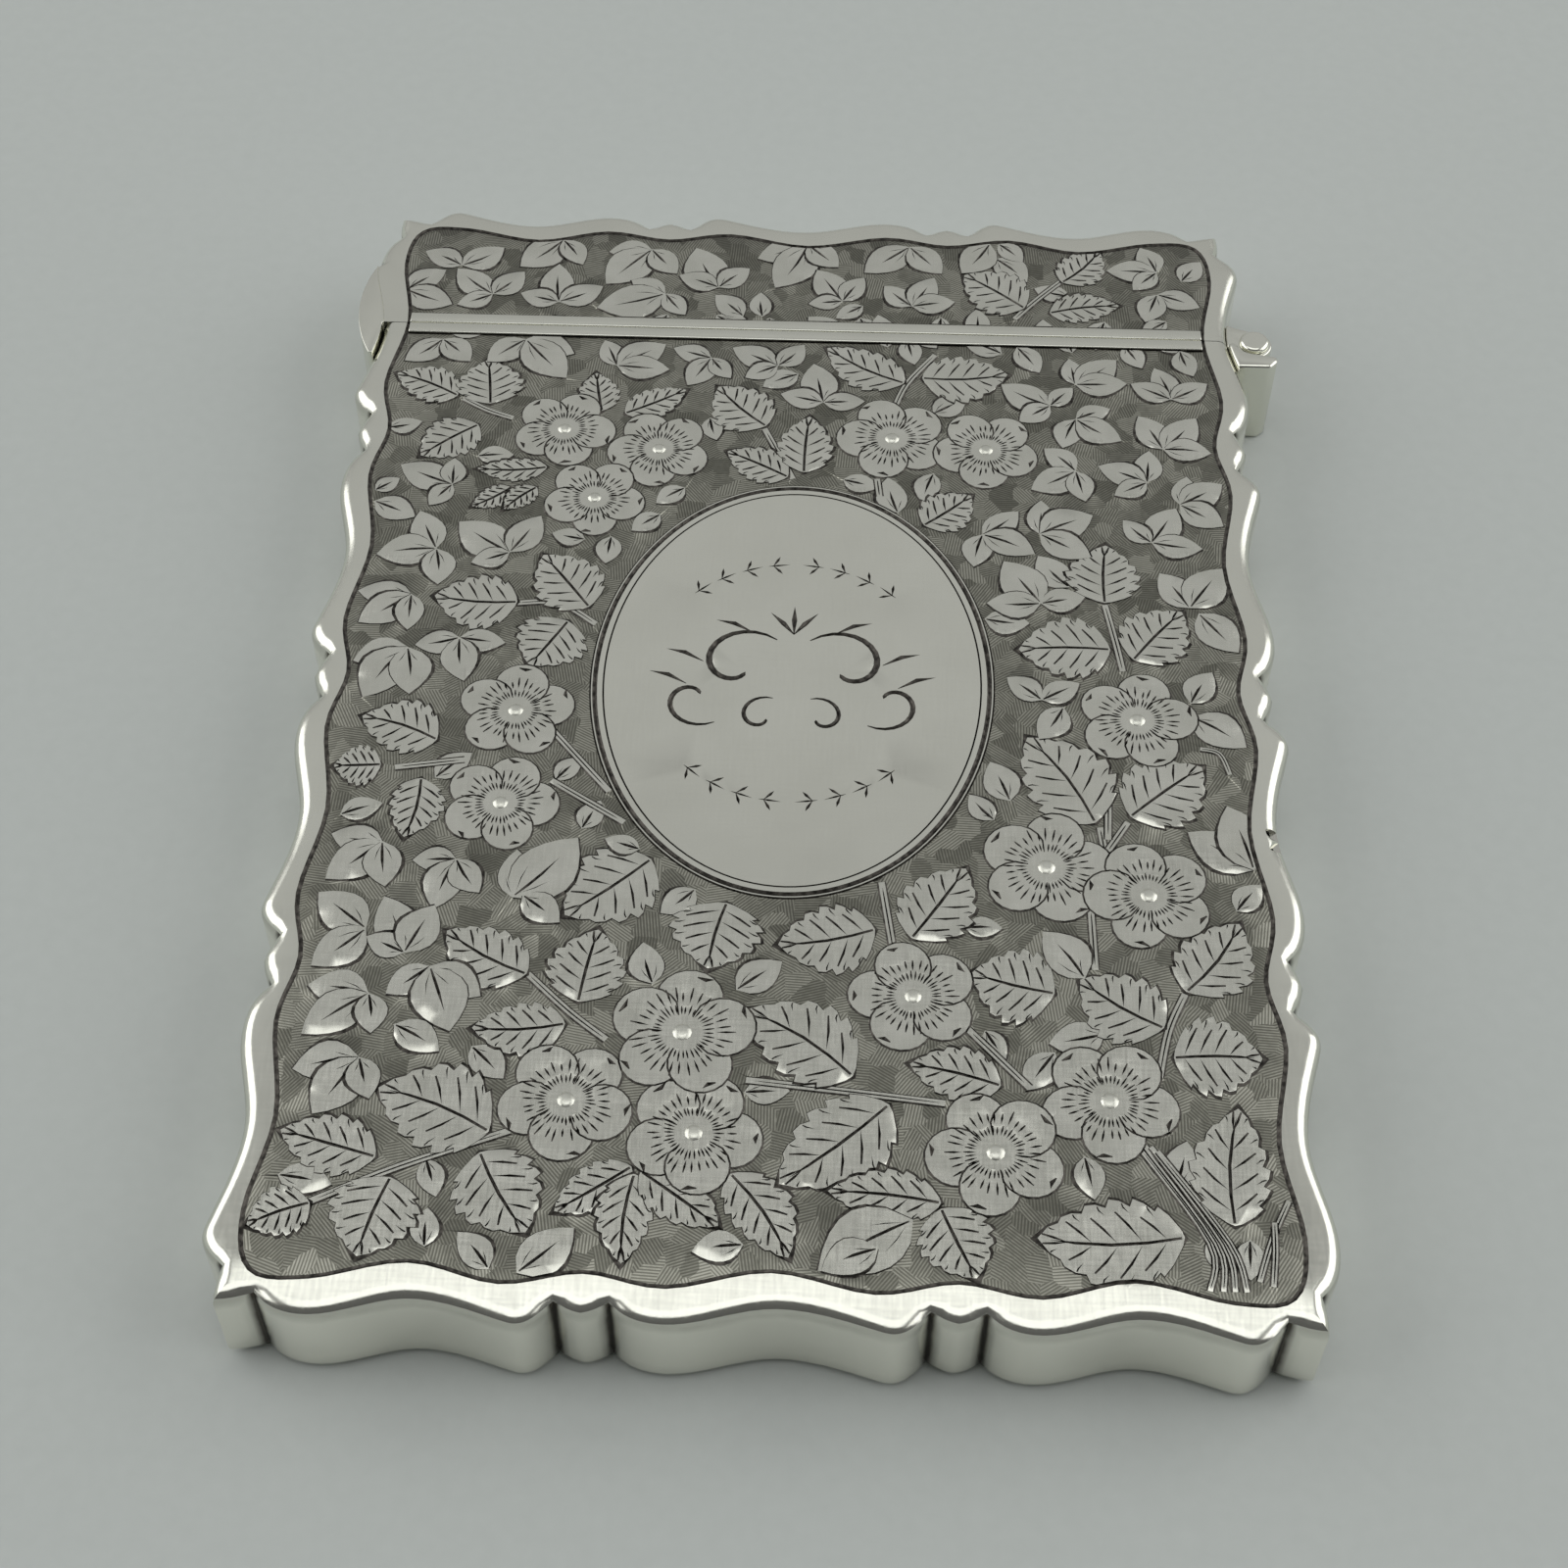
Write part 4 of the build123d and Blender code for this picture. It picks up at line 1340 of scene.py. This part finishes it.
def make_floor():
    """A wide pale sheet under the case."""
    mesh = bpy.data.meshes.new("floor")
    half = FLOOR_SIZE / 2
    corners = [(-half, -half, 0), (half, -half, 0), (half, half, 0), (-half, half, 0)]
    mesh.from_pydata(corners, [], [(0, 1, 2, 3)])
    floor = bpy.data.objects.new("floor", mesh)
    floor.location.z = -FLOOR_DROP
    mesh.materials.append(floor_paper("floor_paper"))
    bpy.context.scene.collection.objects.link(floor)


OVERHEAD_PLACE = (0.0, -0.03, 0.9)
OVERHEAD_SIZE = (0.7, 0.66)
OVERHEAD_POWER = 1.5
OVERHEAD_COLOUR = (0.99, 1.0, 1.0)
SIDE_LIGHT_PLACE = (0.85, 0.1, 0.5)
SIDE_LIGHT_SIZE = (1.3, 0.9)
SIDE_LIGHT_POWER = 4.3


def area_light(name, place, size, power, colour=(1, 1, 1)):
    """A rectangular soft light that faces the case."""
    data = bpy.data.lights.new(name, "AREA")
    data.shape = "RECTANGLE"
    data.size, data.size_y = size
    data.energy = power
    data.color = colour
    light = bpy.data.objects.new(name, data)
    light.location = place
    light.rotation_euler = (-Vector(place)).to_track_quat("-Z", "Y").to_euler()
    bpy.context.scene.collection.objects.link(light)


# Brightness of the room at a height, from the horizon at 0 to straight up at 1
ROOM_TONES = ((0.0, 0.36), (0.62, 0.42), (0.79, 0.48), (0.87, 0.33), (1.0, 0.3))
# The room is darker on the photographer's side: two values of the direction's Y, and the share of the
# brightness that is left at each
ROOM_FRONT = (-0.5, -0.12, 0.26, 1.0)


def make_world():
    """A soft grey room, lightest behind the case and dark on the near side."""
    world = bpy.data.worlds.new("room")
    bpy.context.scene.world = world
    shader = Shader(world, "Background", "Generated")
    axes = shader.add("ShaderNodeSeparateXYZ", Vector=shader.place)
    stops = [(height, (tone, tone * 1.01, tone * 1.015)) for height, tone in ROOM_TONES]
    tones = shader.ramp(axes.outputs["Z"], stops)
    limits = dict(zip(("From Min", "From Max", "To Min", "To Max"), ROOM_FRONT))
    settings = {"interpolation_type": "SMOOTHSTEP"}
    front = shader.add("ShaderNodeMapRange", settings, Value=axes.outputs["Y"], **limits)
    shade = shader.add("ShaderNodeVectorMath", {"operation": "SCALE"}, i0=tones, Scale=front.outputs[0])
    shader.finish(Color=shade.outputs[0], Strength=1.0)


CAMERA_PLACE = (0.0024, -0.11881, 0.15113)
CAMERA_RIGHT = (0.99955, 0.02976, 0.00389)
CAMERA_DOWN = (0.02598, -0.79331, -0.60827)
CAMERA_FORWARD = (-0.01502, 0.60809, -0.79372)
CAMERA_LENS = 60.75


def make_camera():
    """The camera at the photographer's place."""
    data = bpy.data.cameras.new("camera")
    data.lens = CAMERA_LENS
    data.sensor_width = 36.0
    data.clip_start = 0.01
    camera = bpy.data.objects.new("camera", data)
    axes = (Vector(CAMERA_RIGHT), -Vector(CAMERA_DOWN), -Vector(CAMERA_FORWARD))
    turn = Matrix(axes).transposed().to_4x4()
    camera.matrix_world = Matrix.Translation(CAMERA_PLACE) @ turn
    bpy.context.scene.collection.objects.link(camera)
    bpy.context.scene.camera = camera


make_floor()
make_world()
area_light("overhead", OVERHEAD_PLACE, OVERHEAD_SIZE, OVERHEAD_POWER, OVERHEAD_COLOUR)
for side in (1, -1):
    x, y, z = SIDE_LIGHT_PLACE
    area_light(f"side_{side + 1}", (side * x, y, z), SIDE_LIGHT_SIZE, SIDE_LIGHT_POWER)
make_camera()
bpy.context.scene.view_settings.view_transform = "Standard"
